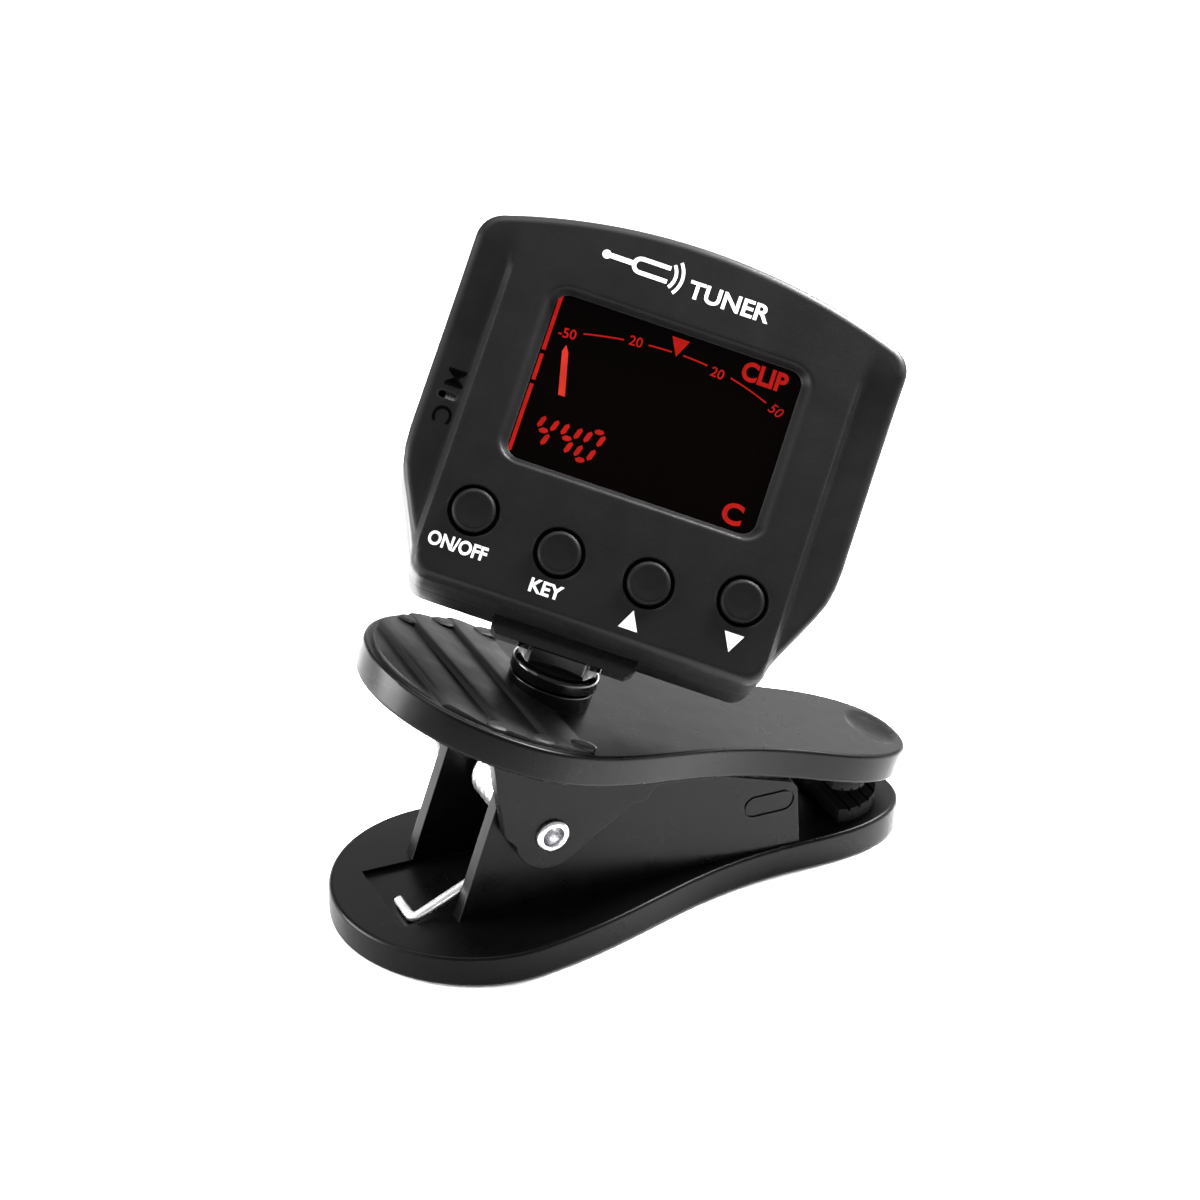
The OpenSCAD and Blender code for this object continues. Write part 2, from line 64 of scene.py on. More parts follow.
pin_at = Vector(joints["clip_hinge"]["pos_m"])
plate_up = Vector(joints["head_swivel"]["axis"]).normalized()
plate_along = Vector((plate_up.z, 0, -plate_up.x))
tilt_at = Vector(joints["head_tilt"]["pos_m"])
head_x = -Vector(joints["head_tilt"]["axis"]).normalized()
head_up = Vector(joints["battery_door_slide"]["axis"]).normalized()
head_out = -Vector(joints["button_key_press"]["axis"]).normalized()
# Millimetres along the tilt pin from the middle of the turret to the middle of the head.
head_off = 1.09

FLOOR_AXES = axes((0, 0, 0), (1, 0, 0), (0, 1, 0), (0, 0, 1))
PIN_AXES = axes(pin_at, (1, 0, 0), (0, 1, 0), (0, 0, 1))
JAW_AXES = axes(pin_at, plate_along, (0, 1, 0), plate_up)
POST_AXES = axes(joints["head_swivel"]["pos_m"], plate_along, (0, 1, 0), plate_up)
TURRET_AXES = axes(joints["head_swivel"]["pos_m"], head_x, plate_up.cross(head_x), plate_up)
# In the axes of the head's face, Y is up along the face and Z stands out of it.
FACE_AXES = axes(tilt_at + head_x * head_off * MM, head_x, head_up, head_out)
KNUCKLE_AXES = axes(tilt_at, head_x, head_up, head_out)


# Camera

camera_turn = math.radians(-25.25)
camera_rise = math.radians(28.78)
camera_roll = math.radians(1.14)
camera_target = Vector((0.01294, 0.0, 0.03062))
camera_distance = 0.32678
camera_lens = 105.29


def add_camera():
    """Camera above and to the left of the clip, looking down on the display."""
    outwards = Vector((math.sin(camera_turn), -math.cos(camera_turn), 0))
    back = outwards * math.cos(camera_rise) + Vector((0, 0, math.sin(camera_rise)))
    right = Vector((math.cos(camera_turn), math.sin(camera_turn), 0))
    up = back.cross(right)
    level_x = right * math.cos(camera_roll) + up * math.sin(camera_roll)
    level_y = up * math.cos(camera_roll) - right * math.sin(camera_roll)
    bpy.ops.object.camera_add()
    camera = bpy.context.object
    camera.name = "camera"
    place = Matrix((level_x, level_y, back)).transposed().to_4x4()
    place.translation = camera_target + back * camera_distance
    camera.matrix_world = place
    camera.data.lens = camera_lens
    camera.data.sensor_width = 36
    camera.data.clip_start = 0.01
    bpy.context.scene.camera = camera


add_camera()


# Finishes


def blank_material(name):
    """New material with its nodes, links and shader."""
    material = bpy.data.materials.new(name)
    material.use_nodes = True
    nodes = material.node_tree.nodes
    links = material.node_tree.links
    return material, nodes, links, nodes["Principled BSDF"]


def noise(nodes, links, grain_mm, detail=3.0, stretch=None):
    """Noise whose features are about grain_mm across, on the piece's own coordinates."""
    place = nodes.new("ShaderNodeTexCoord")
    pattern = nodes.new("ShaderNodeTexNoise")
    pattern.inputs["Scale"].default_value = 1 / (grain_mm * MM)
    pattern.inputs["Detail"].default_value = detail
    if stretch is None:
        links.new(place.outputs["Object"], pattern.inputs["Vector"])
    else:
        mapping = nodes.new("ShaderNodeMapping")
        mapping.inputs["Scale"].default_value = stretch
        links.new(place.outputs["Object"], mapping.inputs["Vector"])
        links.new(mapping.outputs["Vector"], pattern.inputs["Vector"])
    return pattern.outputs["Fac"]


def spread(nodes, links, value, low, high, start=0.3, end=0.7):
    """Maps a value from the range start..end to low..high."""
    step = nodes.new("ShaderNodeMapRange")
    step.inputs["From Min"].default_value = start
    step.inputs["From Max"].default_value = end
    step.inputs["To Min"].default_value = low
    step.inputs["To Max"].default_value = high
    links.new(value, step.inputs["Value"])
    return step.outputs["Result"]


def blend_colours(nodes, links, share, first, second):
    """Mix of two colours, each a colour or another node's output."""
    mix = nodes.new("ShaderNodeMix")
    mix.data_type = "RGBA"
    links.new(share, mix.inputs["Factor"])
    for socket, colour in ((mix.inputs[6], first), (mix.inputs[7], second)):
        if isinstance(colour, tuple):
            socket.default_value = (*colour, 1)
        else:
            links.new(colour, socket)
    return mix.outputs[2]


def painted_edge_highlight(nodes, links, radius_mm):
    """1 along sharp edges, 0 on open faces: the mask of the painted edge highlight."""
    rounded = nodes.new("ShaderNodeBevel")
    rounded.inputs["Radius"].default_value = radius_mm * MM
    rounded.samples = 4
    plain = nodes.new("ShaderNodeNewGeometry")
    match = nodes.new("ShaderNodeVectorMath")
    match.operation = "DOT_PRODUCT"
    links.new(rounded.outputs["Normal"], match.inputs[0])
    links.new(plain.outputs["Normal"], match.inputs[1])
    return spread(nodes, links, match.outputs["Value"], 1.0, 0.0, 0.9, 0.995)


def grain_bump(nodes, links, shader, height, depth_mm, strength):
    """Raises the grain by depth_mm."""
    bump = nodes.new("ShaderNodeBump")
    bump.inputs["Strength"].default_value = strength
    bump.inputs["Distance"].default_value = depth_mm * MM
    links.new(height, bump.inputs["Height"])
    links.new(bump.outputs["Normal"], shader.inputs["Normal"])


def moulded(name, colour, roughness, grain_mm, depth_mm, edge_highlight_gain, level=0.5, edges=True):
    """Moulded plastic or rubber: sand-blasted grain, faint mottling, and a painted highlight that makes the edges
    paler.

    polish is how many times paler the painted edge highlight makes the edges, and level is the strength of the
    reflections.
    """
    material, nodes, links, shader = blank_material(name)
    mottle = noise(nodes, links, 9.0)
    dark = tuple(c * 0.88 for c in colour)
    light = tuple(c * 1.14 for c in colour)
    body = blend_colours(nodes, links, spread(nodes, links, mottle, 0, 1), dark, light)
    rough = spread(nodes, links, noise(nodes, links, 3.0), roughness - 0.04, roughness + 0.05)
    # Painted highlight: the colour is made paler along the edges.
    if edges:
        edge = painted_edge_highlight(nodes, links, 0.35)
        body = blend_colours(nodes, links, edge, body, tuple(c * edge_highlight_gain for c in colour))
    links.new(body, shader.inputs["Base Color"])
    links.new(rough, shader.inputs["Roughness"])
    grain_bump(nodes, links, shader, noise(nodes, links, grain_mm, 4.0), depth_mm, 0.55)
    shader.inputs["Specular IOR Level"].default_value = level
    return material


def metal(name, colour, roughness, stretch=(1, 1, 1), grain_mm=0.08):
    """Plated or drawn metal with fine drawn lines and patches of tarnish."""
    material, nodes, links, shader = blank_material(name)
    tarnish = spread(nodes, links, noise(nodes, links, 2.5), 0, 1)
    body = blend_colours(nodes, links, tarnish, tuple(c * 0.8 for c in colour), colour)
    links.new(body, shader.inputs["Base Color"])
    lines = noise(nodes, links, grain_mm, 2.0, stretch)
    links.new(spread(nodes, links, lines, roughness * 0.7, roughness * 1.5), shader.inputs["Roughness"])
    grain_bump(nodes, links, shader, lines, 0.004, 0.4)
    shader.inputs["Metallic"].default_value = 1.0
    return material


def glowing(name, colour, strength):
    """Display segment lit from behind, a little uneven."""
    material, nodes, links, shader = blank_material(name)
    patch = spread(nodes, links, noise(nodes, links, 0.9), 0, 1)
    shade = blend_colours(nodes, links, patch, tuple(c * 0.72 for c in colour), colour)
    links.new(shade, shader.inputs["Emission Color"])
    shader.inputs["Base Color"].default_value = (0.01, 0.0005, 0.0005, 1)
    shader.inputs["Roughness"].default_value = 0.5
    shader.inputs["Specular IOR Level"].default_value = 0.02
    shader.inputs["Emission Strength"].default_value = strength
    return material


def circuit_green():
    """Solder mask over copper: traces show as lighter lines."""
    material, nodes, links, shader = blank_material("solder_mask_green")
    place = nodes.new("ShaderNodeTexCoord")
    tracks = nodes.new("ShaderNodeTexBrick")
    tracks.inputs["Scale"].default_value = 160
    tracks.inputs["Mortar Size"].default_value = 0.035
    tracks.inputs["Color1"].default_value = (0.012, 0.09, 0.03, 1)
    tracks.inputs["Color2"].default_value = (0.014, 0.1, 0.035, 1)
    tracks.inputs["Mortar"].default_value = (0.04, 0.2, 0.07, 1)
    links.new(place.outputs["Object"], tracks.inputs["Vector"])
    links.new(tracks.outputs["Color"], shader.inputs["Base Color"])
    grain_bump(nodes, links, shader, tracks.outputs["Fac"], 0.02, 0.5)
    shader.inputs["Roughness"].default_value = 0.3
    return material


def studio_floor():
    """Pale paper sweep with the faintest tooth."""
    material, nodes, links, shader = blank_material("pale_sweep")
    shade = blend_colours(nodes, links, noise(nodes, links, 30.0), (0.9, 0.9, 0.9), (0.93, 0.93, 0.93))
    links.new(shade, shader.inputs["Base Color"])
    shader.inputs["Roughness"].default_value = 0.9
    shader.inputs["Specular IOR Level"].default_value = 0.1
    return material


finishes = {
    "clip_plastic": moulded("clip_satin_black", (0.0018, 0.0018, 0.0018), 0.3, 0.3, 0.004, 3.0, 0.08),
    "head_plastic": moulded("head_sandblasted_black", (0.0055, 0.0055, 0.0057), 0.42, 0.24, 0.03, 2.8, 0.1),
    "button_rubber": moulded("button_rubber_black", (0.0038, 0.0038, 0.0038), 0.5, 0.24, 0.02, 2.4, 0.07),
    "gloss_black": moulded("polished_black", (0.002, 0.002, 0.002), 0.13, 0.5, 0.002, 2.0, 0.4, False),
    "pad_rubber": moulded("pad_rubber_black", (0.0025, 0.0025, 0.0025), 0.8, 0.25, 0.02, 1.4, 0.08),
    "bright_steel": metal("nickel_plate", (0.78, 0.78, 0.8), 0.22),
    "spring_steel": metal("drawn_spring_wire", (0.9, 0.9, 0.91), 0.34, (1, 0.2, 1)),
    "contact_brass": metal("contact_brass_strip", (0.78, 0.6, 0.28), 0.25),
    "window_lens": moulded(
        "window_black_glass", (0.0008, 0.0003, 0.0003), 0.09, 2.0, 0.0005, 1.0, 0.025, False),
    "display_glass": moulded(
        "display_dark_glass", (0.02, 0.004, 0.004), 0.15, 1.0, 0.001, 1.0, 0.4, False),
    "white_plastic": moulded("white_diffuser", (0.74, 0.74, 0.7), 0.5, 0.3, 0.006, 1.1),
    "board_green": circuit_green(),
    "chip_black": moulded("chip_epoxy", (0.012, 0.012, 0.013), 0.6, 0.12, 0.008, 1.3),
}
label_ink = moulded("white_pad_print", (0.82, 0.82, 0.82), 0.55, 0.2, 0.004, 1.0, 0.3, False)
grip_matte = moulded("clip_grip_matte", (0.0045, 0.0045, 0.0045), 0.52, 0.3, 0.02, 3.0, 0.2)
# Near-black colour for flat letters: painted shade standing in for the shade inside sunk letters.
sunk_letter_shade = moulded("sunk_letter_painted_shade", (0.0006, 0.0006, 0.0006), 0.8, 0.2, 0.004, 1.0, 0.02, False)
lit_red = glowing("segment_red", (1.0, 0.022, 0.016), 0.55)
lit_bright = glowing("segment_needle", (1.0, 0.055, 0.03), 0.8)


# Modelling steps


def take(piece):
    """Selects one piece alone and makes it active."""
    bpy.ops.object.select_all(action="DESELECT")
    piece.select_set(True)
    bpy.context.view_layer.objects.active = piece


def tidy_mesh(piece):
    """Merges doubles and turns all faces outwards."""
    take(piece)
    bpy.ops.object.mode_set(mode="EDIT")
    bpy.ops.mesh.select_all(action="SELECT")
    bpy.ops.mesh.remove_doubles(threshold=0.0005)
    bpy.ops.mesh.normals_make_consistent(inside=False)
    bpy.ops.object.mode_set(mode="OBJECT")


def flat_shape(name, points):
    """Flat face with the given corners."""
    bpy.ops.object.select_all(action="DESELECT")
    bpy.ops.mesh.primitive_circle_add(vertices=len(points), radius=1, fill_type="NGON")
    piece = bpy.context.object
    piece.name = name
    for corner, point in zip(piece.data.vertices, points):
        corner.co = Vector((*point, 0)) if len(point) == 2 else Vector(point)
    return piece


def skinned(name, rings):
    """Closed solid drawn through rings of points, each ring extruded from the last."""
    piece = flat_shape(name, rings[0])
    take(piece)
    bpy.ops.object.mode_set(mode="EDIT")
    bpy.ops.mesh.select_all(action="SELECT")
    for ring in rings[1:]:
        bpy.ops.mesh.extrude_region_move()
        mesh = bmesh.from_edit_mesh(piece.data)
        lifted = [corner for corner in mesh.verts if corner.select]
        for corner, point in zip(lifted, ring):
            corner.co = Vector(point)
        bmesh.update_edit_mesh(piece.data)
    bpy.ops.object.mode_set(mode="OBJECT")
    tidy_mesh(piece)
    return piece


def prism(name, points, low, high, along="z"):
    """Solid with a drawn profile: along z it is drawn in XY, along y in XZ and along x in YZ."""
    piece = flat_shape(name, points)
    take(piece)
    bpy.ops.object.mode_set(mode="EDIT")
    bpy.ops.mesh.select_all(action="SELECT")
    bpy.ops.mesh.extrude_region_move(TRANSFORM_OT_translate={"value": (0, 0, high - low)})
    bpy.ops.object.mode_set(mode="OBJECT")
    for corner in piece.data.vertices:
        a, b, h = corner.co
        h += low
        corner.co = {"z": (a, b, h), "y": (a, h, b), "x": (h, a, b)}[along]
    tidy_mesh(piece)
    return piece


def block(name, low, high):
    """Box from one corner to the other."""
    corners = [(low[0], low[1]), (high[0], low[1]), (high[0], high[1]), (low[0], high[1])]
    return prism(name, corners, low[2], high[2])


def circle(radius, steps=48, middle=(0, 0)):
    """Corners of a full circle."""
    turns = [2 * math.pi * i / steps for i in range(steps)]
    return [(middle[0] + radius * math.cos(t), middle[1] + radius * math.sin(t)) for t in turns]


def rod(name, radius, low, high, along="z", middle=(0, 0), steps=48):
    """Round bar or drill."""
    return prism(name, circle(radius, steps, middle), low, high, along)


def turned(name, profile, along="z", steps=48):
    """Turned solid from (radius, height) pairs, about the z axis or the y axis."""
    rings = []
    for radius, height in profile:
        ring = [(x, y, height) for x, y in circle(radius, steps)]
        if along == "y":
            ring = [(x, h, y) for x, y, h in ring]
        rings.append(ring)
    return skinned(name, rings)


def arc(cx, cy, radius, start, end, steps):
    """Points along an arc, in degrees."""
    turns = [math.radians(start + (end - start) * i / steps) for i in range(steps + 1)]
    return [(cx + radius * math.cos(t), cy + radius * math.sin(t)) for t in turns]


def rounded_rectangle(x0, y0, x1, y1, radius, steps=6):
    """Rectangle between two corners, with round corners."""
    return (
        arc(x1 - radius, y1 - radius, radius, 0, 90, steps)
        + arc(x0 + radius, y1 - radius, radius, 90, 180, steps)
        + arc(x0 + radius, y0 + radius, radius, 180, 270, steps)
        + arc(x1 - radius, y0 + radius, radius, 270, 360, steps)
    )


def oval(x0, x1, middle_y, radius, steps=10):
    """Slot shape from x0 to x1, with half-round ends."""
    right = arc(x1 - radius, middle_y, radius, -90, 90, steps)
    left = arc(x0 + radius, middle_y, radius, 90, 270, steps)
    return right + left


def combine(piece, tool, operation="UNION"):
    """Joins a tool to a piece or cuts the piece with it, and uses the tool up."""
    take(piece)
    change = piece.modifiers.new("combine", "BOOLEAN")
    change.operation = operation
    change.object = tool
    change.solver = "EXACT"
    bpy.ops.object.modifier_apply(modifier=change.name)
    bpy.data.objects.remove(tool)


def cut(piece, tool):
    """Cuts the piece with a tool, and uses the tool up."""
    combine(piece, tool, "DIFFERENCE")


def round_edges(piece, width, segments, wanted, clamp=True):
    """Rounds the sharp edges for which wanted(middle, normals) is true."""
    take(piece)
    bpy.ops.object.mode_set(mode="EDIT")
    bpy.ops.mesh.select_mode(type="EDGE")
    bpy.ops.mesh.select_all(action="DESELECT")
    mesh = bmesh.from_edit_mesh(piece.data)
    found = False
    for edge in mesh.edges:
        if len(edge.link_faces) != 2 or edge.calc_face_angle(0) < math.radians(30):
            continue
        middle = (edge.verts[0].co + edge.verts[1].co) / 2
        if wanted(middle, [face.normal for face in edge.link_faces]):
            edge.select_set(True)
            found = True
    bmesh.update_edit_mesh(piece.data)
    if found:
        bpy.ops.mesh.bevel(offset=width, segments=segments, affect="EDGES", clamp_overlap=clamp)
    bpy.ops.mesh.select_mode(type="VERT")
    bpy.ops.object.mode_set(mode="OBJECT")


def slice_at(piece, places, normal):
    """Cuts extra edges across a piece, so that it can bend there."""
    take(piece)
    bpy.ops.object.mode_set(mode="EDIT")
    for place in places:
        bpy.ops.mesh.select_all(action="SELECT")
        bpy.ops.mesh.bisect(plane_co=place, plane_no=normal)
    bpy.ops.object.mode_set(mode="OBJECT")


def merge_pieces(name, pieces):
    """Several loose shapes as one piece."""
    bpy.ops.object.select_all(action="DESELECT")
    for piece in pieces:
        piece.select_set(True)
    bpy.context.view_layer.objects.active = pieces[0]
    bpy.ops.object.join()
    pieces[0].name = name
    return pieces[0]


def shift(piece, x=0.0, y=0.0, z=0.0):
    """Moves a piece's mesh, and leaves its object where it is."""
    for corner in piece.data.vertices:
        corner.co = (corner.co.x + x, corner.co.y + y, corner.co.z + z)
    return piece


def copy_at(piece, name, place):
    """Copy of a piece with its own mesh, moved to a place on the face of the head."""
    copy = piece.copy()
    copy.data = piece.data.copy()
    copy.name = name
    bpy.context.scene.collection.objects.link(copy)
    return shift(copy, *place)


def put(piece, place):
    """Moves a finished shape to its place in the frame and applies the move."""
    take(piece)
    piece.matrix_world = place
    bpy.ops.object.transform_apply(location=True, rotation=True, scale=True)


def complete(piece, place, finish, body, slot, *nodes, smooth=32):
    """Shades, places and finishes a piece, gives it to its body and hides the nodes it replaces."""
    take(piece)
    bpy.ops.object.shade_smooth_by_angle(angle=math.radians(smooth))
    even = piece.modifiers.new("even_shading", "WEIGHTED_NORMAL")
    even.keep_sharp = True
    bpy.ops.object.modifier_apply(modifier=even.name)
    put(piece, place)
    piece.data.materials.clear()
    piece.data.materials.append(finish)
    if body:
        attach(piece, body)
    if nodes:
        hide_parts(*nodes)
    return piece


# Clip

# Both jaws share one outline, drawn from the middle of its round grip.
grip_r = 13.65
waist_start = 2.09
waist_end = 32.09
nose_start = 33.86
nose_half_w = 7.06
nose_power = 2 / 2.4
tip_x = 45.35
lower_t = 3.17
upper_t = 3.14
pin_to_plate = 7.42
upper_top = pin_to_plate + upper_t
upper_shift = -5.34
slope = math.atan2(plate_up.x, plate_up.z)
pin_x = pin_at.x / MM
pin_z = pin_at.z / MM


def jaw_outline(offset=0.0):
    """Round grip that narrows in a soft S to a blunt nose."""
    start_y = math.sqrt(grip_r ** 2 - waist_start ** 2)
    start_a = math.atan2(start_y, waist_start)
    handle = 0.42 * math.hypot(waist_end - waist_start, start_y - nose_half_w)
    a = Vector((waist_start, start_y))
    b = a + handle * Vector((math.sin(start_a), -math.cos(start_a)))
    d = Vector((waist_end, nose_half_w))
    c = d - Vector((handle, 0))
    half = arc(0, 0, grip_r, 180, math.degrees(start_a), 30)
    for i in range(1, 21):
        t = i / 20
        point = a * (1 - t) ** 3 + b * 3 * t * (1 - t) ** 2 + c * 3 * t * t * (1 - t) + d * t ** 3
        half.append((point.x, point.y))
    for i in range(13):
        turn = math.radians(90 - 7.5 * i)
        across = max(math.sin(turn), 0) ** nose_power
        along = max(math.cos(turn), 0) ** nose_power
        half.append((nose_start + (tip_x - nose_start) * along, nose_half_w * across))
    half[-1] = (tip_x, 0)
    whole = half + [(x, -y) for x, y in reversed(half[1:-1])]
    return [(x + offset, y) for x, y in whole]


def rim(low, high):
    """Edge test for the outer rim of a plate between two levels."""
    def test(middle, normals):
        if min(abs(middle.z - low), abs(middle.z - high)) > 0.01:
            return False
        return any(abs(n.z) > 0.9 for n in normals) and any(abs(n.z) < 0.1 for n in normals)
    return test


def lower_wall_profile():
    """Wall that rises to just under the upper plate, then follows its slope down to the nose."""
    top_x = pin_x + pin_to_plate * math.sin(slope)
    top_z = pin_z + pin_to_plate * math.cos(slope) - 0.4
    start_x = -4.1
    end_x = 31.3
    end_z = top_z - (end_x - top_x) * math.tan(slope) - 0.1
    grip_end = [(start_x - 0.4, 2.0), (start_x, 3.15), (0.2, 16.6), (0.7, 17.25), (1.4, 17.5)]
    nose_end = [(end_x - 0.6, end_z + 0.2), (end_x, end_z - 0.5), (end_x + 0.5, 3.15), (end_x + 0.5, 2.0)]
    return grip_end + [(top_x - 1.4, top_z)] + nose_end


def build_lower_clip():
    """Lower plate with its two walls, the web between them and a sunk ring on each wall."""
    clip = prism("lower_clip", jaw_outline(), 0, lower_t)
    round_edges(clip, 0.42, 3, rim(0, lower_t))
    for side in (-1, 1):
        wall = prism("wall", lower_wall_profile(), side * 5.1, side * 6.6, "y")
        combine(clip, wall)
    combine(clip, block("web", (26.3, -5.3, 2.0), (27.5, 5.3, 6.2)))
    cut(clip, block("pocket", (-9.3, -5.1, lower_t - 0.5), (14, 5.1, lower_t + 0.6)))
    cut(clip, rod("pin_hole", 1.06, -9, 9, "y", (pin_x, pin_z)))
    for side in (-1, 1):
        ring = prism("ring", oval(25.5, 31.0, 8.35, 1.2), side * 6.42, side * 6.8, "y")
        cut(ring, prism("core", oval(25.75, 30.75, 8.35, 0.95), side * 6.3, side * 7.0, "y"))
        cut(clip, ring)
    round_edges(clip, 0.2, 2, lambda m, n: m.z > lower_t + 0.1 and abs(m.y) > 5.0 and not near_ring(m))
    return clip


def near_ring(middle):
    """True for a place on the sunk ring of a wall."""
    return 25.2 < middle.x < 31.25 and 7.0 < middle.z < 9.7 and abs(middle.y) > 6.3


def ear_profile():
    """Round end about the pin, an undercut corner, and a skirt that fades out under the plate."""
    top = pin_to_plate + 1.0
    grip_side = [(15.3, top), (-9.4, top), (-9.2, pin_to_plate), (-7.3, 4.16), (-4.6, -0.9)]
    nose_side = [(4.86, 0.61), (7.2, 3.65), (7.55, 4.0), (8.5, 4.2), (8.75, 4.6), (9.3, 6.0)]
    skirt = [(10.2, 6.35), (15.3, pin_to_plate)]
    return grip_side + arc(0, 0, 3.65, 205, 322, 16) + nose_side + skirt


rib_disc_r = grip_r - 0.85


def rib_profile(middle):
    """Finger rib across the grip: steep towards the grip end, easing down towards the nose."""
    half = 2.26
    proud = 0.5
    foot = -0.6
    slopes = ((-1.0, 0.0), (-0.93, 0.62), (-0.84, 0.92), (-0.7, 1.0), (-0.2, 0.84), (0.4, 0.5), (0.8, 0.18))
    crest = [(middle + half * along, upper_top + proud * up) for along, up in slopes]
    low_side = (middle + half, upper_top - 0.02 * proud)
    return [(middle - half, upper_top + foot)] + crest + [low_side, (middle + half, upper_top + foot)]


def add_finger_ribs(clip):
    """Four ribs across the grip, trimmed to a disc a little smaller than it."""
    ribs = [prism("rib", rib_profile(-3.66 - 4.75 * i), -grip_r, grip_r, "y") for i in range(4)]
    for rib in ribs:
        disc = rod("grip_disc", rib_disc_r, upper_top - 1, upper_top + 2, "z", (upper_shift, 0), 96)
        combine(rib, disc, "INTERSECT")
        combine(clip, rib)


def add_rib_ends(clip):
    """Flat oval studs at both ends of the valleys between the ribs."""
    profile = [(1.25, -0.3), (1.2, 0.3), (1.0, 0.42), (0.6, 0.46)]
    for u in (-2.0, -6.4, -10.6):
        reach = math.sqrt(rib_disc_r ** 2 - (u - upper_shift) ** 2)
        for side in (-1, 1):
            stud = turned("rib_end", [(r, upper_top + level) for r, level in profile], steps=24)
            for corner in stud.data.vertices:
                corner.co.x = u + corner.co.x * 1.15
                corner.co.y = side * (reach - 0.95) + corner.co.y * 0.75
            combine(clip, stud)


def sink_nose_dish(clip):
    """Shallow oval hollow in the top of the nose."""
    dish = turned("dish", [(0.05, -1.0), (2.4, -0.86), (4.0, -0.5), (5.0, 0.0), (5.4, 0.6)], steps=40)
    for corner in dish.data.vertices:
        corner.co = (36.8 + corner.co.x * 0.5, corner.co.y * 0.74, upper_top + 0.02 + corner.co.z * 0.6)
    cut(clip, dish)


def bend_grip_up(clip):
    """Bends the grip up a little past the ears, easing in over six millimetres."""
    ease = 3
    slice_at(clip, [(u, 0, 0) for u in range(-4, 4)], (1, 0, 0))
    bend = math.tan(math.radians(4.7))
    for corner in clip.data.vertices:
        u = corner.co.x
        if corner.co.z > pin_to_plate - 0.3 and u < ease:
            lift = -bend * u if u < -ease else bend * (ease - u) ** 2 / (4 * ease)
            corner.co.z += lift
    tidy_mesh(clip)


def build_upper_clip():
    """Upper plate with its ears, ribs, nose dish and pin holes."""
    clip = prism("upper_clip", jaw_outline(upper_shift), pin_to_plate, upper_top)
    round_edges(clip, 0.4, 3, rim(pin_to_plate, upper_top))
    for side in (-1, 1):
        combine(clip, prism("ear", ear_profile(), side * 6.95, side * 8.4, "y"))
    add_finger_ribs(clip)
    add_rib_ends(clip)
    cut(clip, rod("pin_hole", 1.12, -9, 9, "y"))
    sink_nose_dish(clip)
    cut(clip, prism("lead_in", [(38.3, 5.0), (41.0, 5.0), (41.0, 9.1)], -9, 9, "y"))
    round_edges(clip, 0.2, 2, lambda m, n: m.z < pin_to_plate - 0.05 and abs(m.y) > 6.9)
    bend_grip_up(clip)
    return clip


def matten_grip(clip):
    """Gives the top of the grip, inside its rim, a coarser finish than the rest of the jaw."""
    clip.data.materials.append(grip_matte)
    for face in clip.data.polygons:
        spot = JAW_AXES.inverted() @ face.center
        on_top = spot.z > upper_top - 0.05 and spot.x < -1.35
        if on_top and math.hypot(spot.x - upper_shift, spot.y) < grip_r - 0.6:
            face.material_index = 1


def build_rivet():
    """Tubular rivet, its ends rolled over to a bright ring."""
    bore = [(0.85, 7.3), (0.92, 8.3), (0.98, 8.72)]
    rolled = [(1.1, 8.87), (1.26, 8.9), (1.46, 8.84), (1.6, 8.72), (1.65, 8.52), (1.65, 8.44)]
    half = bore + rolled + [(1.0, 8.42)]
    profile = [(r, -y) for r, y in half] + [(r, y) for r, y in reversed(half)]
    return turned("clip_rivet", profile, "y", 56)


wire_r = 0.49
wire_bend_r = 0.9


def wire_corner(point, before, after, steps=6):
    """Small round bend at a corner of the wire, between two directions."""
    start = point - before * wire_bend_r
    finish = point + after * wire_bend_r
    ways = [i / steps for i in range(steps + 1)]
    return [start * (1 - t) ** 2 + point * 2 * t * (1 - t) + finish * t * t for t in ways]


def spring_route():
    """Middle line of the wire about the pin: the lower leg, the coil, then the upper leg."""
    coil_r = 2.45
    leg_y = 4.45
    turns = 9
    end_length = 3.5
    low_a = math.radians(25.2)
    high_a = math.radians(20) + slope
    low_dir = Vector((-math.cos(low_a), 0, -math.sin(low_a)))
    low_start = Vector((math.sin(low_a) * coil_r, -leg_y, -math.cos(low_a) * coil_r))
    drop = pin_z + low_start.z - (lower_t - 0.5 + wire_r + 0.05)
    low_end = low_start + low_dir * (drop / math.sin(low_a))
    high_dir = Vector((-math.cos(high_a), 0, math.sin(high_a)))
    high_start = Vector((math.sin(high_a) * coil_r, leg_y, math.cos(high_a) * coil_r))
    high_end = high_start + high_dir * 14.5
    across = Vector((0, 1, 0))
    route = [low_end + across * end_length] + wire_corner(low_end, -across, -low_dir)
    first = math.atan2(low_start.z, low_start.x)
    last = math.atan2(high_start.z, high_start.x)
    sweep = (last - first) % (2 * math.pi) + 2 * math.pi * (turns - 1)
    steps = 24 * turns
    for i in range(steps + 1):
        turn = first + sweep * i / steps
        y = -leg_y + 2 * leg_y * i / steps
        route.append(Vector((coil_r * math.cos(turn), y, coil_r * math.sin(turn))))
    return route + wire_corner(high_end, high_dir, -across) + [high_end - across * end_length]


def build_spring():
    """Coil of touching turns round the pin, with one bent leg to each jaw."""
    route = spring_route()
    line = bpy.data.curves.new("clip_spring", "CURVE")
    line.dimensions = "3D"
    line.bevel_depth = wire_r
    line.bevel_resolution = 3
    line.use_fill_caps = True
    path = line.splines.new("POLY")
    path.points.add(len(route) - 1)
    for knot, point in zip(path.points, route):
        knot.co = (point.x + pin_x, point.y, point.z + pin_z, 1)
    spring = bpy.data.objects.new("clip_spring", line)
    bpy.context.scene.collection.objects.link(spring)
    take(spring)
    bpy.ops.object.convert(target="MESH")
    spring = bpy.context.object
    tidy_mesh(spring)
    return spring


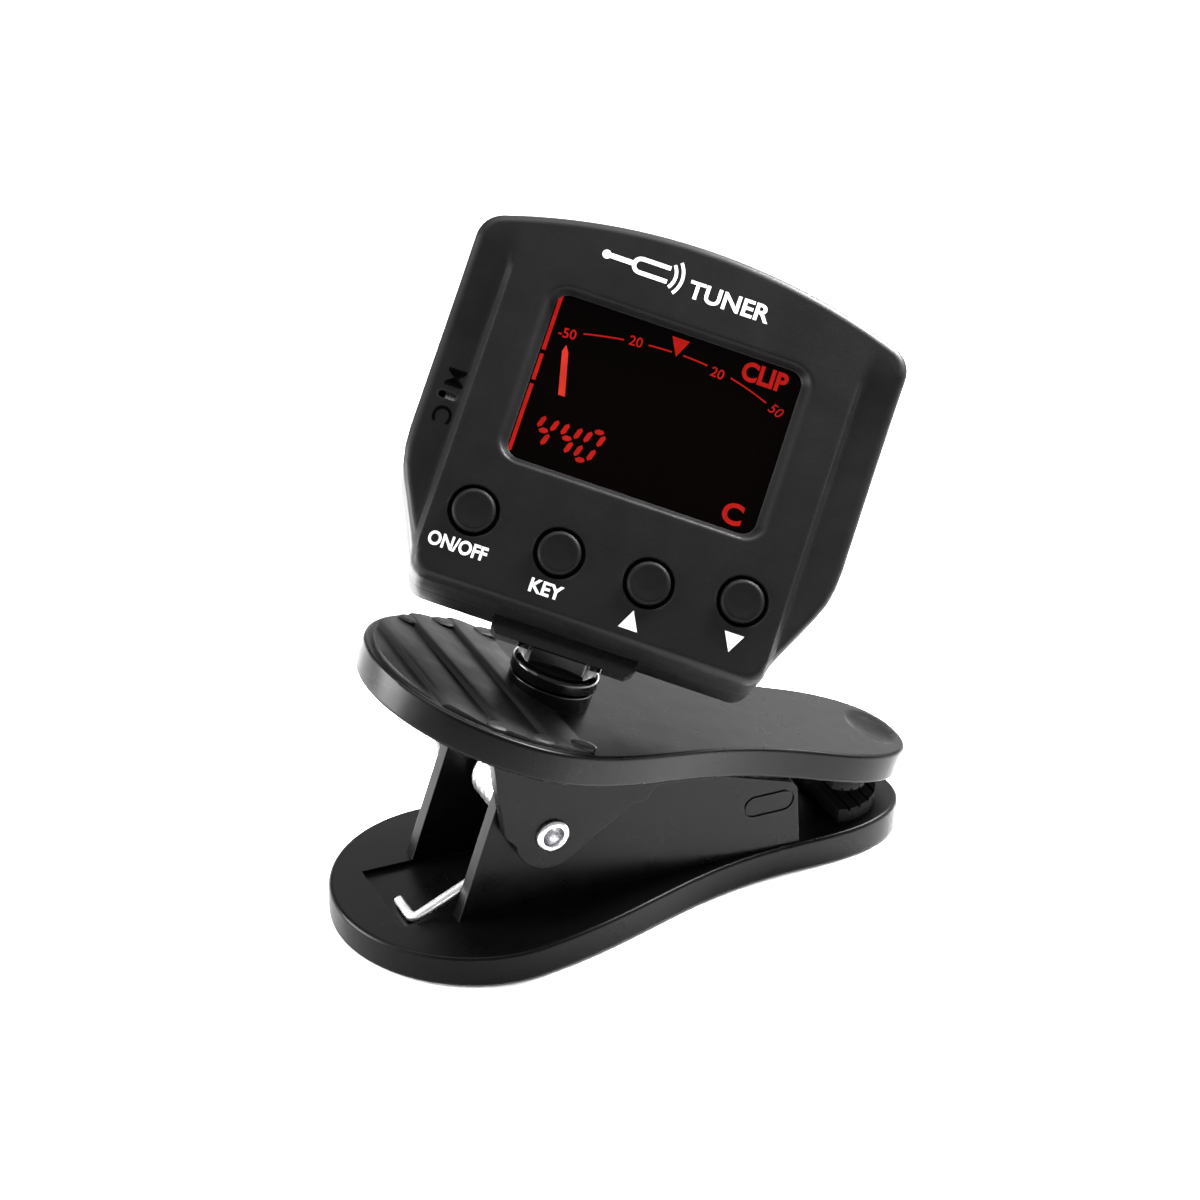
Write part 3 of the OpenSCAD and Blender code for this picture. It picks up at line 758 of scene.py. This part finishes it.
def build_pad(name, start, low, high, face):
    """Rubber pad with a round end and grip grooves across its face."""
    half = nose_half_w - 1.6
    length = 6.2
    straight = start + length - half
    outline = arc(straight, 0, half - 0.02, -88, 88, 20) + [(start, half - 0.25), (start, 0.25 - half)]
    pad = prism(name, outline, low, high)
    for i in range(4):
        x = start + 1.1 + 1.25 * i
        cut(pad, block("groove", (x - 0.15, -9, face - 0.25), (x + 0.15, 9, face + 0.25)))
    round_edges(pad, 0.15, 2, lambda m, n: any(abs(k.z) > 0.9 for k in n) and abs(m.z - face) < 0.02)
    return pad


clip_finish = finishes["clip_plastic"]
complete(build_lower_clip(), FLOOR_AXES, clip_finish, "lower_body", "clip_plastic", "lower_jaw")
upper_clip = complete(build_upper_clip(), JAW_AXES, clip_finish, "upper_body", "clip_plastic", "upper_jaw")
matten_grip(upper_clip)
complete(build_rivet(), PIN_AXES, finishes["bright_steel"], "lower_body", "bright_steel", "pivot_pin")
spring = complete(
    build_spring(), FLOOR_AXES, finishes["spring_steel"], None, "spring_steel", "torsion_spring", smooth=60)
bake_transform(spring)
pad_finish = finishes["pad_rubber"]
pad_t = 1.5
lower_pad = build_pad("lower_nose_pad", 36.8, lower_t, lower_t + pad_t, lower_t + pad_t)
complete(lower_pad, FLOOR_AXES, pad_finish, "lower_body", "pad_rubber", "lower_pad")
upper_pad = build_pad("upper_nose_pad", 31.06, pin_to_plate - pad_t, pin_to_plate, pin_to_plate - pad_t)
complete(upper_pad, JAW_AXES, pad_finish, "upper_body", "pad_rubber", "upper_pad")


# Post, turret and tilt joint

post_r = 4.1
turret_r = 4.25
tilt_h = 4.9


def build_post():
    """Short collar that the turret turns on."""
    edge = [(post_r, 1.4), (post_r - 0.05, 1.5), (post_r - 0.15, 1.55)]
    collar = turned("post_collar", [(post_r, 0)] + edge)
    cut(collar, rod("bore", 1.26, -1, 3))
    return collar


def build_turret():
    """Lipped disc with a dished top and a round-headed tongue for the tilt pin."""
    lip_r = 0.55
    lip = arc(turret_r - lip_r, 3.25 - lip_r, lip_r, 0, 90, 6)
    dished_top = [(3.45, 3.22), (3.2, 3.02), (2.2, 2.9)]
    turret = turned("turret", [(turret_r - 0.15, 1.75), (turret_r, 1.9)] + lip + dished_top, steps=64)
    tongue_side = arc(0, tilt_h, 2.0, -10, 190, 24) + [(-2.15, 2.6), (2.15, 2.6)]
    tongue = prism("tongue", tongue_side, -2.7, 2.7, "x")
    round_edges(tongue, 0.25, 3, lambda m, n: any(abs(k.x) > 0.9 for k in n))
    combine(turret, tongue)
    cut(turret, rod("pin_bore", 0.65, -4, 4, "x", (0, tilt_h), 32))
    cut(turret, rod("screw_bore", 1.21, 0, 3.0))
    return turret


def build_knuckle():
    """Block under the head whose two lugs take the tilt pin."""
    half = 7.0
    barrel_r = 1.35
    barrel = arc(0, 0, barrel_r, -90, 50, 14)
    side_view = [(-3.3, 0.36), (-3.3, -barrel_r)] + barrel[1:] + [(0.9, 0.36)]
    knuckle = prism("knuckle_block", side_view, -half, half, "x")
    for corner in knuckle.data.vertices:
        corner.co = (corner.co.x, corner.co.z, -corner.co.y)
    tidy_mesh(knuckle)
    combine(knuckle, block("neck", (-4.9, 0.1, -0.8), (4.9, 2.4, 2.8)))
    combine(knuckle, block("flange", (-6.4, 2.0, -0.8), (6.4, 3.2, 2.8)))
    cut(knuckle, block("gap", (-3.0, -5, -5), (3.0, 2.35, 2.3)))
    for side in (-1, 1):
        chamfer = [(side * 7.2, -0.4), (side * 7.2, -1.6), (side * 6.1, -1.6)]
        cut(knuckle, prism("chamfer", chamfer, -5, 5))
    cut(knuckle, rod("pin_bore", 0.62, -6.6, 6.6, "x", (0, 0), 32))
    round_edges(knuckle, 0.18, 2, lambda m, n: m.y < 0.3 and abs(m.x) > 3.2 and m.z > 1.4)
    return knuckle


gloss = finishes["gloss_black"]
complete(build_post(), POST_AXES, gloss, "upper_body", "gloss_black", "post")
complete(build_turret(), TURRET_AXES, gloss, "turret_body", "gloss_black", "swivel_turret")
complete(build_knuckle(), KNUCKLE_AXES, gloss, "head_body", "gloss_black", "hinge_block")


# Head

half_w = 20.85
head_top = 37.75
arch_r = 60.0
top_corner_r = 2.7
face_z = 11.08
back_z = -3.66
wall = 1.5
window_half_w = 11.9
window_low = 13.58
window_high = 29.58
glass_z = face_z - 1.05
panel_half_w = 16.7
wing_depth = 1.1
wing_middle = 16.5
wing_reach = 15.7
mark_half = 0.01
case_foot = 3.03
case_back = 2.97
boss_r = 1.65
button_places = {"power": (-12.85, 7.55), "key": (-4.28, 6.35), "up": (4.28, 6.35), "down": (12.85, 7.55)}
screw_places = [(-17.2, 31.4), (17.2, 31.4), (-15.0, 3.4), (15.0, 3.4)]


def head_outline(inset=0.0):
    """Arched top, straight sides that bend in below, and a chin with small round corners."""
    arch_y = head_top - arch_r
    corner_x = half_w - top_corner_r
    corner_y = arch_y + math.sqrt((arch_r - top_corner_r) ** 2 - corner_x ** 2)
    corner_a = math.degrees(math.atan2(corner_y - arch_y, corner_x))
    side = half_w - inset
    chin = 17.0 - inset
    low_r = 1.9 - inset * 0.5
    right = (
        arc(0, arch_y, arch_r - inset, 90, corner_a, 14)
        + arc(corner_x, corner_y, top_corner_r - inset, corner_a - 10, 0, 7)
        + [(side, 13.4), (side - 0.12, 11.6), (side - 0.45, 10.0), (side - 1.05, 8.5)]
        + [(chin + 0.75, 4.3), (chin + 0.15, 2.9)]
        + arc(chin - low_r, 0.38 + inset + low_r, low_r, 0, -90, 6)
    )
    return right + [(-x, y) for x, y in reversed(right[1:])]


def rounded_window(open_by, radius):
    """Outline of the window, opened out by a little more at its sides than above and below."""
    half = window_half_w + open_by
    return rounded_rectangle(-half, window_low - 0.6 * open_by, half, window_high + 0.55 * open_by, radius)


def rounded_body(name, foot_z, front_z, radius, low_radius, foot_chamfer=0.15):
    """Head-shaped block with a rounded front rim, rounder along the chin."""
    rings = []
    for inset, level in ((foot_chamfer, foot_z), (0, foot_z + foot_chamfer)):
        rings.append([(x, y, level) for x, y in head_outline(inset)])
    for step in range(8):
        turn = math.radians(90 * step / 7)
        ring = []
        for x, y in head_outline(radius * (1 - math.cos(turn))):
            chin = min(max((4.5 - y) / 3.5, 0), 1)
            drop = radius + (low_radius - radius) * chin
            ring.append((x, y, front_z - drop * (1 - math.sin(turn))))
        rings.append(ring)
    return skinned(name, rings)


def lower_wings(case):
    """Sinks a long shallow scoop into the front at either side of the middle panel."""
    take(case)
    bpy.ops.object.mode_set(mode="EDIT")
    sides = [(side * (panel_half_w + step), 0, 0) for side in (-1, 1) for step in (0.0, 0.5, 0.95)]
    levels = [(0, 1.0 + 1.24 * i, 0) for i in range(26)]
    for places, way in ((sides, (1, 0, 0)), (levels, (0, 1, 0))):
        for place in places:
            mesh = bmesh.from_edit_mesh(case.data)
            for face in mesh.faces:
                face.select_set(face.calc_center_median().z > face_z - 1.6)
            bmesh.update_edit_mesh(case.data)
            bpy.ops.mesh.bisect(plane_co=place, plane_no=way)
    bpy.ops.object.mode_set(mode="OBJECT")
    for corner in case.data.vertices:
        out = min(max((abs(corner.co.x) - panel_half_w) / 0.5, 0), 1)
        if abs(corner.co.x) < panel_half_w + 0.9:
            out *= 0.9
        down = min(max((corner.co.z - (face_z - 2.4)) / 1.2, 0), 1)
        depth = wing_depth * (1 - ((corner.co.y - wing_middle) / wing_reach) ** 4)
        corner.co.z -= max(depth, 0) * out * down


def letters(name, text, size, middle, depth, turn=0, bold=0.0, squeeze=1.0, lean=0.0):
    """Text as a thin solid centred on a point of the face, half its depth to either side of z = 0."""
    bpy.ops.object.select_all(action="DESELECT")
    bpy.ops.object.text_add()
    words = bpy.context.object
    words.name = name
    words.data.body = text
    words.data.size = size
    words.data.align_x = "CENTER"
    words.data.align_y = "CENTER"
    words.data.offset = bold
    words.data.extrude = depth / 2
    words.data.shear = lean
    words.data.resolution_u = 4
    take(words)
    bpy.ops.object.convert(target="MESH")
    words = bpy.context.object
    place = Matrix.Translation((middle[0], middle[1], 0)) @ Matrix.Rotation(math.radians(turn), 4, "Z")
    put(words, place @ Matrix.Diagonal((squeeze, 1, 1, 1)))
    tidy_mesh(words)
    return words


def sink_bezel(case):
    """Stepped and hollowed frame round the window, and the seat of the lens behind it."""
    bezel = []
    for level, open_by, radius in (
        (-0.2, -0.02, 1.3), (0, 0, 1.3), (0.55, 0.45, 1.6), (0.82, 0.72, 1.9),
        (0.95, 0.92, 2.1), (1.02, 1.15, 2.3), (1.05, 1.42, 2.5), (1.5, 1.6, 2.6),
    ):
        bezel.append([(x, y, glass_z + level) for x, y in rounded_window(open_by, radius)])
    cut(case, skinned("bezel", bezel))
    seat = rounded_rectangle(-13.0, 12.48, 13.0, 30.68, 1.0)
    cut(case, prism("lens_seat", seat, 8, glass_z))


def cut_button_wells(case):
    """Round hole with a softened edge for each button, wider inside for the button's flange."""
    inside = [(2.95, 8), (2.95, face_z - wall)]
    hole = [(2.36, face_z - wall), (2.36, face_z - 0.22)]
    mouth = [(2.42, face_z - 0.08), (2.6, face_z + 0.02), (2.9, face_z + 0.4)]
    for place in button_places.values():
        cut(case, shift(turned("well", inside + hole + mouth), *place))


def build_front_case():
    """Front shell with its scoops, window, button wells, screw bosses and microphone slot."""
    case = rounded_body("front_case", case_foot, face_z, 0.9, 1.7)
    lower_wings(case)
    cut(case, prism("cavity", head_outline(wall), 0, face_z - 2.3))
    cut(case, block("panel_recess", (-14.7, 10.98, 8), (14.7, 32.18, face_z - wall)))
    sink_bezel(case)
    cut_button_wells(case)
    for place in screw_places:
        boss = rod("boss", boss_r, case_foot, face_z - 2.0, "z", place, 32)
        cut(boss, rod("pilot", 0.8, 0, 8.6, "z", place, 24))
        combine(case, boss)
    cut(case, prism("mic_slot", oval(-19.4, -17.6, 17.05, 0.33), 6, 12))
    return case


def build_mic_marks():
    """Near-black flat letters either side of the microphone slot, read from the side, painted as the shade of sunk
    letters.
    """
    level = face_z - wing_depth
    marks = []
    for text, middle in (("M", (-18.4, 18.8)), ("C", (-18.5, 15.25))):
        marks.append(letters("mark", text, 2.5, middle, 0.06, turn=-90, bold=0.02))
    return shift(merge_pieces("mic_letters", marks), z=level + 0.02)


def build_labels():
    """White pad-printed words, arrows and a ringing tuning fork."""
    level = face_z + 0.004
    thick = 0.03
    half = thick / 2
    fork_y = 34.1
    shapes = [
        letters("label", "ON/OFF", 1.78, (-13.2, 3.95), thick, bold=0.05, squeeze=0.86),
        letters("label", "KEY", 1.78, (-4.45, 2.75), thick, bold=0.05, squeeze=0.98),
        letters("label", "TUNER", 2.3, (3.1, 33.45), thick, bold=0.05, squeeze=1.05),
        prism("label", [(2.85, 1.75), (4.65, 1.75), (3.75, 3.55)], -half, half),
        prism("label", [(12.15, 4.5), (14.0, 4.5), (13.05, 2.75)], -half, half),
    ]
    outside = arc(-5.6, fork_y, 0.85, 90, 270, 10)
    inside = arc(-5.6, fork_y, 0.45, 270, 90, 10)
    lower_tip = [(-2.9, 33.25), (-2.9, 33.65)]
    upper_tip = [(-2.9, 34.55), (-2.9, 34.95)]
    shapes.append(prism("label", outside + lower_tip + inside + upper_tip, -half, half))
    shapes.append(prism("label", rounded_rectangle(-8.7, 33.86, -6.3, 34.34, 0.2, 3), -half, half))
    shapes.append(rod("label", 0.42, -half, half, "z", (-8.9, fork_y), 20))
    for reach in (1.15, 1.8):
        outer = arc(-4.0, fork_y, reach + 0.75, -38, 38, 10)
        back = arc(-4.0, fork_y, reach + 0.45, 38, -38, 10)
        shapes.append(prism("label", outer + back, -half, half))
    return shift(merge_pieces("printed_labels", shapes), z=level)


def figure(segments, x, y):
    """Slanted seven-segment figure, from the letters of its lit segments."""
    width = 1.25
    height = 3.0
    lean = 0.3
    bar = 0.24
    gap = 0.16
    half = height / 2
    lines = {
        "a": ((0, height), (width, height)), "b": ((width, half), (width, height)),
        "c": ((width, 0), (width, half)), "d": ((0, 0), (width, 0)),
        "e": ((0, 0), (0, half)), "f": ((0, half), (0, height)), "g": ((0, half), (width, half)),
    }
    parts = []
    for letter in segments:
        start, finish = Vector(lines[letter][0]), Vector(lines[letter][1])
        way = (finish - start).normalized()
        side = Vector((-way.y, way.x)) * bar
        start += way * gap
        finish -= way * gap
        ends = [start, start + side + way * bar, finish + side - way * bar, finish]
        ends += [finish - side - way * bar, start - side + way * bar]
        points = [(x + p.x + lean * p.y, y + p.y) for p in ends]
        parts.append(prism("figure", points, -mark_half, mark_half))
    return parts


def scale_level(x):
    """Height of the curved scale, which drops faster on the right."""
    return 27.62 - 0.0215 * (x - 0.4) ** 2 * (1.0 if x > 0 else 0.62)


def scale_line(start, finish):
    """Stretch of the scale between two places across the window."""
    steps = 8
    half = 0.07
    across = [start + (finish - start) * i / steps for i in range(steps + 1)]
    upper = [(x, scale_level(x) + half) for x in across]
    lower = [(x, scale_level(x) - half) for x in reversed(across)]
    return prism("scale", upper + lower, -mark_half, mark_half)


def build_segments():
    """Lit figures and marks of the display, and its needle as a brighter piece."""
    thin = 2 * mark_half
    shapes = [
        letters("mark", "-50", 1.3, (-10.0, 26.05), thin, turn=6, bold=0.015),
        letters("mark", "20", 1.3, (-3.8, 27.4), thin, turn=2, bold=0.015),
        letters("mark", "20", 1.3, (4.2, 27.05), thin, turn=-4, bold=0.015),
        letters("mark", "50", 1.35, (10.3, 25.5), thin, turn=-18, bold=0.0, lean=0.2),
        letters("mark", "CLIP", 2.45, (8.4, 28.1), thin, bold=0.09, squeeze=0.9),
        letters("mark", "C", 2.7, (9.55, 15.0), thin, bold=0.09, squeeze=1.05),
        prism("mark", [(-0.8, 29.05), (0.9, 29.05), (0.1, 27.3)], -mark_half, mark_half),
        scale_line(-8.6, -4.9), scale_line(-2.6, -0.4), scale_line(0.7, 3.1), scale_line(5.5, 9.3),
    ]
    for low, high in ((23.95, 29.3), (21.0, 23.55), (14.1, 20.6)):
        shapes.append(block("mark", (-11.78, low, -mark_half), (-11.42, high, mark_half)))
    for segments, x in (("bcfg", -10.3), ("bcfg", -8.05), ("abcdef", -5.85)):
        shapes += figure(segments, x, 15.3)
    level = glass_z + mark_half
    marks = shift(merge_pieces("display_segments", shapes), z=level)
    blade = [(-9.0, 20.4), (-8.35, 20.4), (-9.35, 24.4), (-9.75, 25.05), (-9.95, 24.4)]
    needle = shift(prism("display_needle", blade, -mark_half, mark_half), z=level)
    return marks, needle


def arch_level(x, inset):
    """Height of the head's arched top at x, drawn in by inset."""
    return head_top - arch_r + math.sqrt((arch_r - inset) ** 2 - x * x)


def door_outline(half, low, inset):
    """Foot and sides straight, top along the arch of the head."""
    top = [(half - 2 * half * i / 16, arch_level(half - 2 * half * i / 16, inset)) for i in range(17)]
    return [(-half, low), (half, low)] + top


def build_rear_case():
    """Rear shell with the door's runners, the coin cell's tray, the knuckle's notch and screw bosses."""
    case = prism("rear_case", head_outline(), back_z, case_back)
    round_edges(case, 0.6, 4, lambda m, n: abs(m.z - back_z) < 0.01, False)
    round_edges(case, 0.15, 2, lambda m, n: m.z > 2.9)
    cut(case, prism("cavity", head_outline(wall), back_z + wall, 4))
    combine(case, prism("door_frame", door_outline(13.5, 8.0, 0.8), back_z + 0.4, -0.9))
    middle = -head_off
    combine(case, block("notch_wall", (middle - 5.6, 0.6, back_z + 0.4), (middle + 5.6, 5.1, -0.25)))
    for place in screw_places:
        combine(case, rod("boss", boss_r, back_z + 0.4, case_back, "z", place, 32))
    cut(case, rod("cell_tray", 10.3, -5, 2.1, "z", (0, 20), 72))
    cut(case, prism("door_way", door_outline(11.7, 9.0, -2.0), back_z - 1, back_z + 1.66))
    cut(case, prism("tongue_way", door_outline(12.4, 9.0, -2.0), back_z + 0.7, back_z + 1.66))
    cut(case, block("notch", (middle - 4.7, -1, back_z - 1), (middle + 4.7, 4.3, -1.05)))
    cut(case, block("neck_way", (middle - 5.1, -1, -1.1), (middle + 5.1, 3.0, 4)))
    cut(case, block("flange_way", (middle - 6.6, 1.9, -1.1), (middle + 6.6, 3.4, 4)))
    cut(case, rod("barrel_way", 1.45, middle - 7.15, middle + 7.15, "x", (0, 0), 32))
    for place in screw_places:
        cut(case, rod("screw_way", 0.9, -6, 6, "z", place, 24))
        cut(case, rod("head_way", 1.55, back_z - 2, back_z + 1.0, "z", place, 32))
    return case


def build_door():
    """Sliding battery door with a ribbed thumb grip and an arrow."""
    door = prism("battery_cover", door_outline(11.5, 9.2, 0.15), back_z + 0.02, back_z + 1.5)
    round_edges(door, 0.6, 4, lambda m, n: m.y > 30 and abs(m.z - back_z) < 0.1, False)
    combine(door, prism("tongue", door_outline(12.2, 9.2, 1.2), back_z + 0.92, back_z + 1.5))
    for i in range(5):
        low = 13.0 + 1.3 * i
        groove = rounded_rectangle(-4.5, low, 4.5, low + 0.6, 0.29, 4)
        cut(door, prism("groove", groove, back_z - 1, back_z + 0.42))
    arrow = [(-1.6, 21.3), (1.6, 21.3), (0, 23.4)]
    cut(door, prism("arrow", arrow, back_z - 1, back_z + 0.25))
    round_edges(door, 0.15, 2, lambda m, n: abs(m.z - back_z) < 0.05 and m.y < 31 and not 12 < m.y < 24)
    return door


def build_screw():
    """Pan-head screw with a crossed recess, its head towards the back."""
    shank = [(0.78, 8.2), (0.78, -2.7)]
    pan = [(1.4, -2.7), (1.45, -2.8), (1.42, -3.1), (1.2, -3.28), (0.7, -3.36)]
    screw = turned("screw", shank + pan, steps=32)
    cut(screw, block("slot", (-0.95, -0.16, -4), (0.95, 0.16, -2.95)))
    cut(screw, block("slot", (-0.16, -0.95, -4), (0.16, 0.95, -2.95)))
    return screw


def build_lens():
    """Clear plate behind the bezel."""
    outline = rounded_rectangle(-12.85, 12.63, 12.85, 30.53, 0.9)
    return prism("window_glass", outline, glass_z - 0.82, glass_z - 0.02)


def build_button():
    """Cap with a soft edge and a faint dish, on a flange and a short stem."""
    front = face_z + 0.5
    cap_r = 2.0
    edge_r = 0.42
    stem = [(1.2, 8.05), (1.2, 8.8)]
    flange = [(2.6, 8.8), (2.6, 9.35)]
    side = [(cap_r, 9.35), (cap_r, front - edge_r)]
    edge = arc(cap_r - edge_r, front - edge_r, edge_r, 15, 90, 6)
    dish = [(1.25, front - 0.03), (0.6, front - 0.06)]
    return turned("button_cap", stem + flange + side + edge + dish, steps=56)


head_finish = finishes["head_plastic"]
complete(build_front_case(), FACE_AXES, head_finish, "head_body", "head_plastic", "front_shell")
complete(build_rear_case(), FACE_AXES, head_finish, "head_body", "head_plastic", "rear_shell")
complete(build_door(), FACE_AXES, head_finish, "door_body", "head_plastic", "battery_door")
complete(build_lens(), FACE_AXES, finishes["window_lens"], "head_body", "window_lens", "display_window")
complete(build_labels(), FACE_AXES, label_ink, "head_body", "white_plastic")
# The MIC letters are flat near-black pieces: painted shade in place of sunk letters.
complete(build_mic_marks(), FACE_AXES, sunk_letter_shade, "head_body", "chip_black")
marks, needle = build_segments()
complete(marks, FACE_AXES, lit_red, "head_body", "display_glass")
complete(needle, FACE_AXES, lit_bright, "head_body", "display_glass")
screw = build_screw()
for number, place in enumerate(screw_places, 1):
    copy = copy_at(screw, f"case_screw_{number}", place)
    complete(copy, FACE_AXES, finishes["bright_steel"], "head_body", "bright_steel", "case_screws")
bpy.data.objects.remove(screw)

cap = build_button()
cap_finish = finishes["button_rubber"]
for name, place in button_places.items():
    copy = copy_at(cap, f"cap_{name}", place)
    complete(copy, FACE_AXES, cap_finish, f"button_{name}_body", "button_rubber", f"button_{name}")
bpy.data.objects.remove(cap)


# Pieces that keep their CAD shape

slot_of = {part["node"]: part["material_slot"] for part in frame["record"]["subparts"]}
for name, node in frame["nodes"].items():
    if not node.hide_render:
        for holder in node.material_slots:
            holder.material = finishes[slot_of[name]]


# Studio


def add_softbox(name, place, target, size, power):
    """Round soft light at a place, turned towards a target, in metres and watts."""
    bpy.ops.object.select_all(action="DESELECT")
    bpy.ops.object.light_add(type="AREA", location=place)
    lamp = bpy.context.object
    lamp.name = name
    lamp.data.shape = "DISK"
    lamp.data.size = size
    lamp.data.energy = power
    lamp.rotation_euler = (Vector(target) - Vector(place)).to_track_quat("-Z", "Y").to_euler()


def add_floor():
    """Paper floor just under the tuner."""
    bpy.ops.object.select_all(action="DESELECT")
    bpy.ops.mesh.primitive_plane_add(size=6, location=(0, 0, -0.0001))
    floor = bpy.context.object
    floor.name = "studio_floor"
    floor.data.materials.append(studio_floor())


def add_lights():
    """Soft light from all round, with two small lamps near the head and the ribs."""
    middle = (0.012, 0, 0.025)
    add_softbox("softbox_left", (-0.6, 0.15, 0.35), middle, 0.9, 4.6)
    add_softbox("softbox_back", (0.45, 0.65, 0.25), middle, 0.8, 1.8)
    add_softbox("softbox_top", (0.05, 0.12, 0.7), middle, 0.6, 6.5)
    add_softbox("softbox_right", (0.6, 0.0, 0.35), middle, 0.5, 2.5)
    add_softbox("near_light_left", (-0.14, 0.065, 0.045), middle, 0.1, 0.8)
    add_softbox("near_light_top", (0.095, 0.012, 0.105), (0.04, 0.003, 0.05), 0.05, 1.1)


def add_backdrop():
    """White behind the tuner, and half as bright as that where it lights it."""
    world = bpy.data.worlds.new("studio")
    bpy.context.scene.world = world
    world.use_nodes = True
    nodes = world.node_tree.nodes
    links = world.node_tree.links
    seen = nodes.new("ShaderNodeBackground")
    seen.inputs["Color"].default_value = (1, 1, 1, 1)
    light = nodes["Background"]
    light.inputs["Color"].default_value = (1, 1, 1, 1)
    light.inputs["Strength"].default_value = 0.5
    ray = nodes.new("ShaderNodeLightPath")
    mix = nodes.new("ShaderNodeMixShader")
    links.new(ray.outputs["Is Camera Ray"], mix.inputs["Fac"])
    links.new(light.outputs["Background"], mix.inputs[1])
    links.new(seen.outputs["Background"], mix.inputs[2])
    links.new(mix.outputs["Shader"], nodes["World Output"].inputs["Surface"])
    bpy.context.scene.view_settings.view_transform = "Standard"


add_floor()
add_lights()
add_backdrop()
